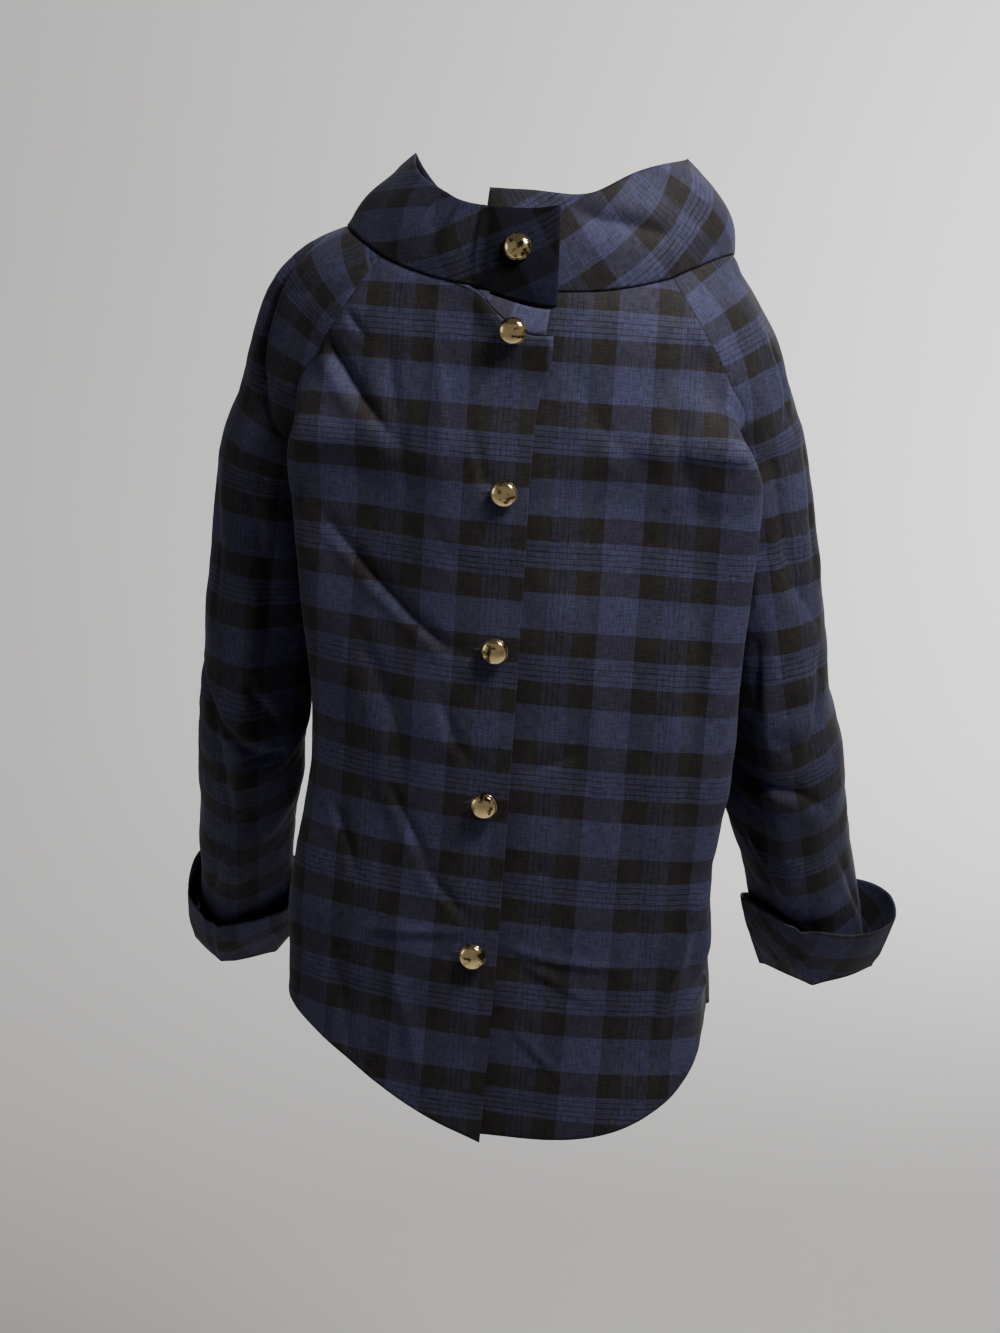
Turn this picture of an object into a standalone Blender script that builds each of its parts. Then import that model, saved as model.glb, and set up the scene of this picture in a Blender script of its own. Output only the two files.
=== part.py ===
"""Cowl neck top: a loose, hip-length raglan top that buttons down the centre back.

The garment is worn, so it keeps its filled-out, hollow form with the arms down and a
little bent. Metres, +Z up. The origin is the middle of the neck seam at shoulder height.
The front faces -Y, the buttoned back faces +Y and the wearer's left is +X.

Every cloth piece is a thin wall around a surface that is worked out from the tables:
  panels   run from the centre line of the back or front to a raglan and side seam,
  sleeves  are rings from the neck, over the shoulder, to the wrist,
  collar   rises from the neck seam to a leaning rim, its ends lapping at the back.
A place on a panel or sleeve is given by its level: 0 at the neck seam, 1 at the armpit
and 2 at the hem or wrist.
"""
import math

import bmesh
import bpy
import numpy as np

# ---------------------------------------------------------------- driving dimensions
MM = 0.001
CLOTH = 0.0012            # thickness of a cloth wall
SEAM_GAP = 0.0003         # between two pieces that are sewn together
ARMPIT_WIDENING = 3       # the gap grows by this many times where the seams turn under the arm
LAP_OFFSET = 0.0011       # how far each of two lapped layers stands off their shared surface
COLLAR_LAP_OFFSET = 0.0035  # the same for the collar's two lapped ends
BACK_LAP = 0.024          # cloth of the left back beyond the line of buttons
UNDER_LAP = 0.022         # cloth of the right back beyond the line of buttons
LEAN = 0.040              # how far the hips stand to the left of the neck
LEAN_DEPTH = 0.650
LEAN_POWER = 1.35
SHOULDER_TILT = 0.049     # slope of the shoulders, the left one higher
HEM_TILT = 0.060          # slope of the hem, the left side higher
HEM_START = 1.3           # level from which the back's rows bend towards the hem's curve
HEM_STRAIGHT = 0.55       # the straight part of the left back's hem
HEM_ROUND = 4.7           # power that shapes the right back's round hem
HEM_COVERED = 0.8         # slope of the right back's hem under the lap
SQUARENESS = 0.82         # 1 gives oval sections, less gives flatter backs and fronts
WING_SHARE = 0.66         # the folds beside the arms stand this far out on the panels
WING_START = 0.40         # the level where they begin
WING_FULL = 0.95          # and the one where they stand out fully
WING_SOFTENS = 1.35       # above this level they are narrower, to clear the sleeves
WING_BACK = 0.30          # how far they also stand back or forward, for each unit out
NARROWING = 0.60          # how much narrower a sleeve's ring is towards the body
WING_POWER = math.log(0.5) / math.log(WING_SHARE)

NECK_HALF_WIDTH = 0.148
NECK_HALF_DEPTH = 0.090
RIM_HALF_WIDTH = 0.104
RIM_HALF_DEPTH = 0.074
RIM_SIDE_HEIGHT = 0.064
RIM_BACK_HEIGHT = 0.035
RIM_FRONT_HEIGHT = -0.020
RIM_SHIFT = -0.008        # the rim leans over to the right
TAB_LAP = 0.029           # collar tab beyond the line of buttons
TAB_UNDER_LAP = 0.029
UNDER_RISE = 0.013        # the covered collar end stands this much higher than the tab
RIM_RIGHT_CURVE = 6.0     # powers that shape the rim's dips at the back, each side,
RIM_LEFT_CURVE = 1.1      # and at the front
RIM_FRONT_CURVE = 1.2
UPRIGHT_SHARE = 0.75      # near the back the collar stands upright, up to this sine of the turn
TAB_DROOP = 0.010         # the tab's free end hangs this far below the neck seam
TAB_DROOP_LENGTH = 0.070
NECK_SEAM_TURN = 48.5     # degrees round the neck from the centre back to the raglan seam
COLLAR_BULGE = 0.004      # how far the collar's middle swells outwards everywhere
RIGHT_BULGE = 0.009       # more of it at the right, which leans over
FRONT_BULGE = 0.017       # and most at the front, where the cowl falls
LIP_STANDOFF = 0.009      # how far the top corner of the left lap stands away
LIP_LENGTH = 0.16         # the levels over which it comes back

BUTTON_RADIUS = 0.0105
BUTTON_HEIGHT = 0.0095
SHANK_RADIUS = 0.0022
SHANK_CLEARANCE = 0.0009  # the shank stops this far above the lap
SHANK_HEIGHT = 0.0026     # from the shank's foot to the button's flat back
BACK_PLATE = (0.0075, 0.0030)  # radius and height of the flat back's edge
BUTTON_RIM_HEIGHT = 0.0042     # the height of the widest place, where the dome starts
FIRST_BUTTON_DEPTH = 0.0525
BUTTON_SPACING = 0.1215
BACK_BUTTONS = 5
TAB_BUTTON_SHARE = 0.58   # how far up the tab its button sits

# The turned-up cloth's height and how far its rim flares: the mean round the wrist, then
# how much more than that on the inner side (and less on the outer), and at the back.
CUFF_HEIGHT = {1: (0.048, 0.0, 0.0), -1: (0.054, 0.009, 0.010)}
CUFF_FLARE = {1: (0.007, 0.0, 0.0), -1: (0.015, -0.011, -0.004)}
CUFF_STANDOFF = 0.0028    # from the sleeve's surface to the turned-up cloth at the wrist
CUFF_DROP = 0.0012        # how far the turned-up cloth starts below the sleeve's end
CUFF_FOLD = 0.0032        # how far the fold hangs below the sleeve's end

PLAID = (0.030, 0.034, 0.085)
GOLD = (0.83, 0.60, 0.22)

# ---------------------------------------------------------------- tables, in millimetres
# The centre lines of the back and the front.
CENTRE_LINES = {
    "columns": ("level", "back_y", "back_z", "front_y", "front_z"),
    "rows": (
        (0.0, 90, -25, -90, -78),
        (0.5, 101, -105, -117, -135),
        (1.0, 107, -188, -128, -194),
        (1.25, 110, -320, -127, -312),
        (1.5, 110, -450, -123, -435),
        (1.75, 111, -572, -122, -548),
        (2.0, 114, -687, -124, -652),
    ),
}
# The side seams and the panels' widest places, measured from the leaning middle of the
# body. Between the arm and the body the side seam lies deeper in than the panels reach.
SIDE_LINES = {
    "columns": ("level", "z", "y", "left", "right", "back_half_left", "back_half_right",
                "front_half_left", "front_half_right"),
    "rows": (
        (0.5, -110, -6, 150, 146, 160, 156, 156, 152),
        (1.0, -191, -10, 135.4, 116.6, 172, 188, 166, 166),
        (1.2, -285, -10, 138, 124, 158, 184, 156, 162),
        (1.45, -409, -6, 144, 140, 146, 176, 150, 148),
        (1.7, -515, -4, 153, 158, 154, 164, 154, 146),
        (2.0, -596, -4, 152, 170, 150, 168, 150, 150),
    ),
}
# Each sleeve's rings. From the neck to the armpit a ring is open between the two raglan
# seams, and "angle" says how far past its widest line each end reaches. Below, it closes.
SLEEVE_COLUMNS = ("level", "outer_x", "outer_z", "seam_z", "half_width", "half_depth",
                  "middle_y", "dip", "angle")
SLEEVE_RINGS = {
    -1: {
        "columns": SLEEVE_COLUMNS,
        "rows": (
            (0.0, 148, 0, -22.5, 148, 90, 0, -17, -48.5),
            (0.25, 167, -37, -60, 109, 104, -2, -20, -45),
            (0.5, 181, -70, -100, 79, 90, -3, -15, -42),
            (0.75, 192, -108, -138, 56, 64, -5, -8, -28),
            (0.875, 197, -128, -154, 43, 50, -8, 0, 15),
            (1.0, 203, -147, -190, 47, 47, -10, 0, 90),
            (1.25, 215, -232, -250, 43, 44, -12, 2, 90),
            (1.5, 228, -345, -350, 47, 47, -20, 8, 90),
            (1.7, 237, -430, -432, 49, 45, -48, 14, 90),
            (1.85, 242, -506, -508, 45, 43, -82, 14, 90),
            (2.0, 252, -600, -602, 43, 41, -120, 5, 90),
        ),
    },
    1: {
        "columns": SLEEVE_COLUMNS,
        "rows": (
            (0.0, 148, 0, -22.5, 148, 90, 0, -17, -48.5),
            (0.25, 184, -20, -56, 171, 102, -2, -18, -45),
            (0.5, 213, -49, -92, 166, 90, -3, -14, -42),
            (0.75, 230, -94, -133, 106, 68, -5, -8, -28),
            (0.875, 239, -125, -162, 61, 50, -8, -4, 15),
            (1.0, 251, -155, -191, 54, 49, -10, 0, 90),
            (1.25, 264, -240, -252, 53, 47, -11, 2, 90),
            (1.5, 275, -345, -350, 45, 46, -20, 9, 90),
            (1.7, 289, -430, -434, 44, 44, -50, 18, 90),
            (1.85, 298, -505, -509, 39, 42, -88, 20, 90),
            (2.0, 313, -600, -604, 39, 40, -132, 21, 90),
        ),
    },
}
# The largest folds of the panels: a soft trough (height below 0) or ridge from one place
# to another. Places are (level, share of the way from the centre to the edge).
FOLDS = {
    "columns": ("side", "face", "from", "to", "width", "height"),
    "rows": (
        (1, 1, (1.02, 0.66), (1.26, 0.40), 18, -5),
        (1, 1, (0.20, 0.86), (0.85, 0.56), 18, -6),
        (-1, 1, (1.66, 0.86), (1.96, 0.66), 16, 6),
        (1, 1, (1.56, 0.74), (1.84, 0.70), 18, -7),
        (-1, -1, (0.55, 0.60), (1.20, 0.30), 20, -5),
        (1, -1, (0.60, 0.55), (1.15, 0.28), 20, -5),
        (1, -1, (1.50, 0.70), (1.95, 0.60), 18, 6),
        (-1, -1, (1.45, 0.75), (1.95, 0.66), 18, 6),
    ),
}

# ---------------------------------------------------------------- grids of each piece
CAP_LEVELS = (0.0, 0.12, 0.25, 0.38, 0.5, 0.62, 0.75, 0.85, 0.91, 0.96, 1.0)
BODY_LEVELS = (1.06, 1.13, 1.2, 1.28, 1.36, 1.44, 1.52, 1.6, 1.68, 1.76, 1.84, 1.92, 2.0)
ARM_LEVELS = (1.07, 1.16, 1.26, 1.36, 1.44, 1.52, 1.6, 1.68, 1.76, 1.84, 1.92, 2.0)
PANEL_STEPS = (0.12, 0.24, 0.36, 0.48, 0.58, 0.67, 0.75, 0.83, 0.9, 1.0)
LAP_STEPS = 2
SLEEVE_STEPS = 14
COLLAR_ROWS = 5
CUFF_ROWS = (0.0, 0.5, 1.0)
BUTTON_SIDES = 16
NORMAL_SMOOTHING = 2


def smooth_column(table, name, level):
    """A column of a table at any level, on a smooth curve through its rows.

    Between two rows it is a cubic, whose slope at each row is that of its neighbours.
    """
    levels = np.array([row[0] for row in table["rows"]], dtype=float)
    place = table["columns"].index(name)
    values = np.array([row[place] for row in table["rows"]], dtype=float)
    slopes = np.gradient(values, levels)
    level = np.clip(np.asarray(level, dtype=float), levels[0], levels[-1])
    low = np.clip(np.searchsorted(levels, level, side="right") - 1, 0, len(levels) - 2)
    step = levels[low + 1] - levels[low]
    t = (level - levels[low]) / step
    start = (1 + 2 * t) * (1 - t) ** 2 * values[low] + t * (1 - t) ** 2 * step * slopes[low]
    end = t * t * (3 - 2 * t) * values[low + 1] - t * t * (1 - t) * step * slopes[low + 1]
    return start + end


def ease(x):
    """0 below 0, 1 above 1, and a smooth rise between."""
    x = np.clip(x, 0.0, 1.0)
    return x * x * (3 - 2 * x)


def lean(z):
    """How far the body's middle has moved to the wearer's left at height z."""
    return LEAN * (np.maximum(-z, 0.0) / LEAN_DEPTH) ** LEAN_POWER


def tilted(points, level):
    """The points with the shoulders' slope near the neck and the hem's slope low down."""
    slope = SHOULDER_TILT * (1 - ease(level)) + HEM_TILT * ease(level - 1.0)
    points = points.copy()
    points[..., 2] += slope * points[..., 0]
    return points


def seam_angle(side, level):
    """How far a raglan seam lies past the sleeve ring's widest line, in radians."""
    return np.radians(np.minimum(smooth_column(SLEEVE_RINGS[side], "angle", level), 90.0))


def sleeve_ring(side, level, turn):
    """A place on the sleeve: an oval round the arm, turn 0 at its back, +90 degrees outside."""
    table = SLEEVE_RINGS[side]
    outer_z = smooth_column(table, "outer_z", level)
    reach = 1 + np.sin(seam_angle(side, level))
    rise = (outer_z - smooth_column(table, "seam_z", level)) / reach
    inward = 1 - np.sin(turn)
    x = smooth_column(table, "outer_x", level) - smooth_column(table, "half_width", level) * inward
    depth = smooth_column(table, "half_depth", level) * (1 - NARROWING * np.maximum(-np.sin(turn), 0))
    y = smooth_column(table, "middle_y", level) + depth * np.cos(turn)
    z = outer_z - rise * inward - smooth_column(table, "dip", level) * np.cos(turn)
    return np.stack(np.broadcast_arrays(side * x, y, z), axis=-1) * MM


def sleeve_point(side, level, share):
    """The sleeve's surface: share 0 at the back seam, 1 at the front seam."""
    level, share = np.broadcast_arrays(np.asarray(level, float), np.asarray(share, float))
    angle = seam_angle(side, level)
    turn = -angle + share * (math.pi + 2 * angle)
    return tilted(sleeve_ring(side, level, turn), np.minimum(level, 1.0))


def panel_edge(side, face, level):
    """A panel's outer edge: the raglan seam down to the armpit, then the side seam."""
    cap = np.minimum(level, 1.0)
    angle = seam_angle(side, cap)
    raglan = sleeve_ring(side, cap, -angle if face > 0 else math.pi + angle)
    z = smooth_column(SIDE_LINES, "z", level) * MM
    half = smooth_column(SIDE_LINES, "left" if side > 0 else "right", level) * MM
    y = smooth_column(SIDE_LINES, "y", level) * MM
    seam = np.stack([side * half + lean(z), y, z], axis=-1)
    return np.where((level < 1.0)[..., None], raglan, seam)


def hem_curve(side, across):
    """How the back hem climbs from its middle (0) to the side seam (1).

    The left one climbs almost straight, the right one in a round shirt tail. Where the
    right one is covered by the lap, it climbs too, so that it stays hidden.
    """
    if side > 0:
        return HEM_STRAIGHT * across + (1 - HEM_STRAIGHT) * across * np.abs(across)
    return np.where(across < 0, -HEM_COVERED * across, np.abs(across) ** HEM_ROUND)


def panel_surface(side, face, level, share):
    """A panel's smooth form: a flattened quarter oval from its centre line to its edge.

    Beside the arm a hump carries it out to its widest place, two thirds of the way along.
    """
    key = "back" if face > 0 else "front"
    z = smooth_column(CENTRE_LINES, key + "_z", level) * MM
    y = smooth_column(CENTRE_LINES, key + "_y", level) * MM
    centre = np.stack([lean(z), y, z], axis=-1)
    edge = panel_edge(side, face, level)
    top = np.radians(NECK_SEAM_TURN + (90 - NECK_SEAM_TURN) * ease(level))
    power = 1 - (1 - SQUARENESS) * ease(level)
    turn = np.abs(share) * top
    across = np.sign(share) * (np.sin(turn) / np.sin(top)) ** power
    deep = (1 - np.cos(turn) ** power) / (1 - np.clip(np.cos(top), 0, 1) ** power)
    fall = deep + (hem_curve(side, across) - deep) * ease((level - HEM_START) / (2 - HEM_START)) * (face > 0)
    points = centre + (edge - centre) * np.stack([across, deep, fall], axis=-1)
    sharpness = 2 + 2 * ease((WING_SOFTENS - level) / 0.3)
    hump = np.sin(math.pi * np.clip(np.abs(share), 0, 1) ** WING_POWER) ** sharpness
    at_wing = np.sin(WING_SHARE * top) / np.sin(top)
    half_name = key + "_half_" + ("left" if side > 0 else "right")
    reach = (smooth_column(SIDE_LINES, half_name, np.maximum(level, 0.5)) * MM
             - side * (edge[..., 0] - lean(edge[..., 2])) * at_wing ** power)
    out = np.maximum(reach, 0.0) * ease((level - WING_START) / (WING_FULL - WING_START)) * hump
    points = points + np.stack([side * out, face * out * WING_BACK, 0 * out], axis=-1)
    return tilted(points, level)


def fold_height(side, face, level, share):
    """How far the folds lift a place off the smooth form, in metres."""
    total = np.zeros(np.shape(level))
    drop, width = 0.45, 0.24        # metres that one level and one share stand for
    for row in FOLDS["rows"]:
        fold = dict(zip(FOLDS["columns"], row))
        if (fold["side"], fold["face"]) != (side, face):
            continue
        start = np.array(fold["from"]) * (drop, width)
        along = np.array(fold["to"]) * (drop, width) - start
        away = np.stack([level * drop, share * width], axis=-1) - start
        t = np.clip((away @ along) / (along @ along), 0.0, 1.0)
        distance = np.linalg.norm(away - t[..., None] * along, axis=-1)
        fade = 0.45 + 0.55 * np.sin(math.pi * t)
        total += fold["height"] * MM * fade * np.exp(-(distance / (fold["width"] * MM)) ** 2)
    return total


def panel_point(side, face, level, share):
    """The panel's surface with its folds, which push it straight back or forward."""
    level, share = np.broadcast_arrays(np.asarray(level, float), np.asarray(share, float))
    points = panel_surface(side, face, level, share)
    points[..., 1] += face * fold_height(side, face, level, share)
    return points


def centre_share(side, level, distance):
    """The share that lies a distance beyond the centre line of the back, always negative."""
    step = 0.01
    near = panel_surface(side, 1, level, np.full(np.shape(level), step))
    far = panel_surface(side, 1, level, np.zeros(np.shape(level)))
    return -distance * step / np.linalg.norm(near - far, axis=-1)


# ---------------------------------------------------------------- grids and normals
def unit(vectors):
    return vectors / np.linalg.norm(vectors, axis=-1, keepdims=True)


def normals(grid, middle, closed=False):
    """Unit normals of a grid of points, from its neighbours, that point away from a middle.

    The middle is one point, or one for each row, on the hollow side of the cloth.
    """
    if closed:
        wrapped = np.concatenate([grid[:, -2:-1], grid, grid[:, 1:2]], axis=1)
        across = (wrapped[:, 2:] - wrapped[:, :-2])
    else:
        across = np.gradient(grid, axis=1)
    down = np.gradient(grid, axis=0)
    out = np.cross(unit(across), unit(down))
    for _ in range(NORMAL_SMOOTHING):
        out = unit(out)
        out[:, 1:-1] += 0.5 * (out[:, :-2] + out[:, 2:])
        out[1:-1] += 0.5 * (out[:-2] + out[2:])
    out = unit(out)
    return out if np.sum(out * (grid - middle)) > 0 else -out


def inset_edges(grid, gap, edges):
    """The grid with the named edges moved inwards by half the seam gap."""
    grid = grid.copy()
    pairs = {"first_row": ((0, slice(None)), (1, slice(None))),
             "last_row": ((-1, slice(None)), (-2, slice(None))),
             "first_column": ((slice(None), 0), (slice(None), 1)),
             "last_column": ((slice(None), -1), (slice(None), -2))}
    for name in edges:
        outer, inner = pairs[name]
        step = grid[inner] - grid[outer]
        grid[outer] += unit(step) * gap / 2
    return grid


def seam_gap(levels):
    """The gap at the edges of each row, which grows where a seam turns under the arm."""
    near_armpit = ease((levels - 0.7) / 0.2) * ease((1.12 - levels) / 0.1)
    return SEAM_GAP * (1 + ARMPIT_WIDENING * near_armpit[:, None])


def material(name, colour, roughness, metallic):
    mat = bpy.data.materials.new(name)
    mat.use_nodes = True
    shader = mat.node_tree.nodes["Principled BSDF"]
    shader.inputs["Base Color"].default_value = (*colour, 1.0)
    shader.inputs["Roughness"].default_value = roughness
    shader.inputs["Metallic"].default_value = metallic
    return mat


def new_object(name, points, faces, mat):
    mesh = bpy.data.meshes.new(name)
    mesh.from_pydata([tuple(p) for p in points], [], faces)
    bm = bmesh.new()
    bm.from_mesh(mesh)
    bmesh.ops.remove_doubles(bm, verts=bm.verts, dist=1e-6)
    bmesh.ops.recalc_face_normals(bm, faces=bm.faces)
    bm.to_mesh(mesh)
    bm.free()
    mesh.shade_smooth()
    mesh.materials.append(mat)
    obj = bpy.data.objects.new(name, mesh)
    bpy.context.scene.collection.objects.link(obj)
    return obj


def wall(name, grid, outward, mat, closed_from=None):
    """A closed cloth wall, half its thickness each side of a grid of points.

    From row closed_from on, the last column is the first one again and the wall is a tube.
    Both layers split each cell along its shorter diagonal, so that they stay parallel.
    """
    rows, columns = grid.shape[:2]
    closed_from = rows if closed_from is None else closed_from
    layers = (grid + outward * CLOTH / 2, grid - outward * CLOTH / 2)
    points = np.concatenate([layer.reshape(-1, 3) for layer in layers])

    def at(layer, row, column):
        if row >= closed_from and column == columns - 1:
            column = 0
        return layer * rows * columns + row * columns + column

    faces = []
    for r in range(rows - 1):
        for c in range(columns - 1):
            corners = ((r, c), (r, c + 1), (r + 1, c + 1), (r + 1, c))
            falling = np.linalg.norm(grid[corners[0]] - grid[corners[2]])
            rising = np.linalg.norm(grid[corners[1]] - grid[corners[3]])
            halves = ((0, 1, 2), (0, 2, 3)) if falling < rising else ((0, 1, 3), (1, 2, 3))
            for half in halves:
                faces.append([at(0, *corners[k]) for k in half])
                faces.append([at(1, *corners[k]) for k in reversed(half)])
    rim = [((0, c), (0, c + 1)) for c in range(columns - 1)]
    rim += [((rows - 1, c + 1), (rows - 1, c)) for c in range(columns - 1)]
    for r in range(min(closed_from, rows - 1)):
        rim.append(((r + 1, 0), (r, 0)))
        rim.append(((r, columns - 1), (r + 1, columns - 1)))
    for first, second in rim:
        faces.append([at(0, *second), at(0, *first), at(1, *first), at(1, *second)])
    return new_object(name, points, faces, mat)


# ---------------------------------------------------------------- the pieces' grids
LEVELS = np.array(CAP_LEVELS + BODY_LEVELS)
SLEEVE_LEVELS = np.array(CAP_LEVELS + ARM_LEVELS)
CAP_ROWS = len(CAP_LEVELS)
SHARES = np.array((0.0,) + PANEL_STEPS)


def back_grid(side, lap):
    """A back panel: rows down from the neck, columns from its lapped edge to its seam."""
    extra = np.linspace(1.0, 0.0, LAP_STEPS + 1)[:-1]
    beyond = centre_share(side, LEVELS, lap)[:, None] * extra[None, :]
    shares = np.concatenate([beyond, np.tile(SHARES, (len(LEVELS), 1))], axis=1)
    levels = np.tile(LEVELS[:, None], (1, shares.shape[1]))
    return panel_point(side, 1, levels, shares), levels, shares


def front_grid():
    """The front panel: columns from the right seam, over the centre, to the left seam."""
    right = panel_point(-1, -1, LEVELS[:, None], SHARES[None, :])[:, ::-1]
    left = panel_point(1, -1, LEVELS[:, None], SHARES[None, :])
    return np.concatenate([right, left[:, 1:]], axis=1)


def sleeve_grid(side):
    shares = np.linspace(0.0, 1.0, SLEEVE_STEPS + 1)
    return sleeve_point(side, SLEEVE_LEVELS[:, None], shares[None, :])


def lip_height(level, share, top):
    """How far the top of the left back's lap stands away from the body."""
    near_top = np.exp(-(np.maximum(level - top, 0.0) / LIP_LENGTH) ** 2)
    return LIP_STANDOFF * near_top * ease((0.42 - share) / 0.45)


def sag_level(share):
    """The level of the left back's top edge, which droops towards its lapped corner."""
    return 0.20 * ease((0.34 - share) / 0.46)


def lap_share(level_grid, share_grid):
    """1 in the lap, fading to 0 a third of the way out."""
    return ease((0.34 - share_grid) / 0.30)


def build_panels(cloth):
    grids = {}
    left, left_levels, left_shares = back_grid(1, BACK_LAP)
    droop = sag_level(left_shares)
    top = droop * (1 - ease(left_levels / 0.6))
    moved = left_levels + top
    left = panel_point(1, 1, moved, left_shares)
    right, right_levels, right_shares = back_grid(-1, UNDER_LAP)
    grids["back_left"] = left
    grids["back_right"] = right
    grids["front"] = front_grid()
    grids["sleeve_left"] = sleeve_grid(1)
    grids["sleeve_right"] = sleeve_grid(-1)

    inside_body = np.stack([lean(LEVELS * -0.3), 0 * LEVELS, -0.05 - LEVELS * 0.3], axis=-1)
    out = {name: normals(grids[name], inside_body[:, None])
           for name in ("back_left", "back_right", "front")}
    for sleeve in ("sleeve_left", "sleeve_right"):
        out[sleeve] = normals(grids[sleeve], inside_body[-1])
        tube = grids[sleeve][CAP_ROWS - 1:]
        inside_arm = tube.mean(axis=1, keepdims=True)
        out[sleeve][CAP_ROWS - 1:] = normals(tube, inside_arm, closed=True)
    share_seam_normals(out)

    offset = {
        "back_left": LAP_OFFSET * lap_share(left_levels, left_shares)
        + lip_height(moved, left_shares, droop) * (left_levels < 1),
        "back_right": -LAP_OFFSET * lap_share(right_levels, right_shares),
    }
    for name, amount in offset.items():
        grids[name] = grids[name] + out[name] * amount[..., None]

    inset = {
        "back_left": ("first_row", "last_column"),
        "back_right": ("first_row", "last_column"),
        "front": ("first_row", "first_column", "last_column"),
        "sleeve_left": ("first_row",),
        "sleeve_right": ("first_row",),
    }
    for name, edges in inset.items():
        grids[name] = inset_edges(grids[name], SEAM_GAP, edges[:1])
        grids[name] = inset_edges(grids[name], seam_gap(LEVELS), edges[1:])
    cap_gap = seam_gap(SLEEVE_LEVELS[:CAP_ROWS])
    for sleeve in ("sleeve_left", "sleeve_right"):
        cap = inset_edges(grids[sleeve][:CAP_ROWS], cap_gap, ("first_column", "last_column"))
        grids[sleeve][:CAP_ROWS - 1] = cap[:CAP_ROWS - 1]
        clear_armpit(grids[sleeve], out[sleeve])
    for name, grid in grids.items():
        closed_from = CAP_ROWS - 1 if name.startswith("sleeve") else None
        wall(name, grid, out[name], cloth, closed_from)
    return grids, out


def clear_armpit(grid, outward):
    """Lowers and moves the tube's inner line at the armpit into the sleeve by the gap."""
    for column in (0, -1):
        grid[CAP_ROWS - 1, column] -= outward[CAP_ROWS - 1, column] * (CLOTH + SEAM_GAP)


def share_seam_normals(out):
    """Gives both sides of each seam the same normals, so that their walls meet mitred."""
    last = CAP_ROWS - 1
    seams = (
        (("back_left", slice(0, last), -1), ("sleeve_left", slice(0, last), 0)),
        (("back_right", slice(0, last), -1), ("sleeve_right", slice(0, last), 0)),
        (("front", slice(0, last), -1), ("sleeve_left", slice(0, last), -1)),
        (("front", slice(0, last), 0), ("sleeve_right", slice(0, last), -1)),
        (("back_left", slice(last, None), -1), ("front", slice(last, None), -1)),
        (("back_right", slice(last, None), -1), ("front", slice(last, None), 0)),
    )
    for (one, rows, column), (other, other_rows, other_column) in seams:
        both = unit(out[one][rows, column] + out[other][other_rows, other_column])
        out[one][rows, column] = both
        out[other][other_rows, other_column] = both


# ---------------------------------------------------------------- collar
def neck_line():
    """The neck seam, from the covered collar end round the right side to the tab."""
    zero = np.zeros(1)
    right_back = panel_surface(-1, 1, 0 * SHARES, SHARES)
    left_back = panel_surface(1, 1, 0 * SHARES, SHARES)
    shares = np.linspace(0.0, 1.0, SLEEVE_STEPS + 1)
    right_arm = sleeve_point(-1, 0.0, shares)
    left_arm = sleeve_point(1, 0.0, shares)
    right_front = panel_surface(-1, -1, 0 * SHARES, SHARES)
    left_front = panel_surface(1, -1, 0 * SHARES, SHARES)
    steps = np.array((1.0, 0.5))
    under = panel_surface(-1, 1, 0 * steps, centre_share(-1, zero, TAB_UNDER_LAP) * steps)
    over = panel_surface(1, 1, 0 * steps, centre_share(1, zero, TAB_LAP) * steps)
    return np.concatenate([
        under, right_back, right_arm[1:-1], right_front[::-1], left_front[1:-1],
        left_arm[:0:-1], left_back[::-1], over[::-1]])


def neck_turn(base):
    """The angle of each point of the neck line about the neck: 0 at the back, +90 at the right."""
    turn = np.arctan2(-base[:, 0] / NECK_HALF_WIDTH, base[:, 1] / NECK_HALF_DEPTH)
    turn = np.unwrap(turn)
    return turn - 2 * math.pi * round(turn[0] / (2 * math.pi))


def rim_point(turn):
    """The collar's rim: highest at the sides, lower at the back and lowest at the front."""
    sin, cos = np.sin(turn), np.cos(turn)
    back_curve = np.where(sin > 0, RIM_RIGHT_CURVE, RIM_LEFT_CURVE)
    z = np.where(cos > 0,
                 RIM_SIDE_HEIGHT + (RIM_BACK_HEIGHT - RIM_SIDE_HEIGHT) * np.abs(cos) ** back_curve,
                 RIM_SIDE_HEIGHT + (RIM_FRONT_HEIGHT - RIM_SIDE_HEIGHT) * np.abs(cos) ** RIM_FRONT_CURVE)
    gathered = np.where(cos > 0, ease(np.abs(sin) / UPRIGHT_SHARE), 1.0)
    x = (RIM_SHIFT - RIM_HALF_WIDTH * sin) * gathered - NECK_HALF_WIDTH * sin * (1 - gathered)
    return np.stack([x, RIM_HALF_DEPTH * cos, z], axis=-1)


def collar_bulge(turn):
    """How far the collar's middle swells outwards: little at the back, most at the front."""
    front = ease(-np.cos(turn) * 1.2 + 0.1)
    right = np.maximum(np.sin(turn), 0) ** 2
    return COLLAR_BULGE + RIGHT_BULGE * right * (1 - front) + FRONT_BULGE * front


def collar_grid():
    base = neck_line()
    turn = neck_turn(base)
    rim = rim_point(turn)
    steps = np.linalg.norm(np.diff(base, axis=0), axis=-1)
    from_end = np.concatenate([np.cumsum(steps[::-1])[::-1], [0.0]])
    base[:, 2] -= TAB_DROOP * ease(1 - from_end / TAB_DROOP_LENGTH)
    around = np.linspace(0.0, 1.0, len(base))
    under = ease((0.10 - around) / 0.08)
    over = ease((around - 0.90) / 0.08)
    rim[:, 2] += UNDER_RISE * under
    height = np.linspace(0.0, 1.0, COLLAR_ROWS)[::-1, None, None]
    grid = base[None] * (1 - height) + rim[None] * height
    outward = np.stack([-np.sin(turn), np.cos(turn), 0 * turn], axis=-1)
    swell = np.sin(math.pi * height) * collar_bulge(turn)[None, :, None]
    layer = (COLLAR_LAP_OFFSET * (over - under))[None, :, None]
    return grid + outward[None] * (swell + layer)


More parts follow.
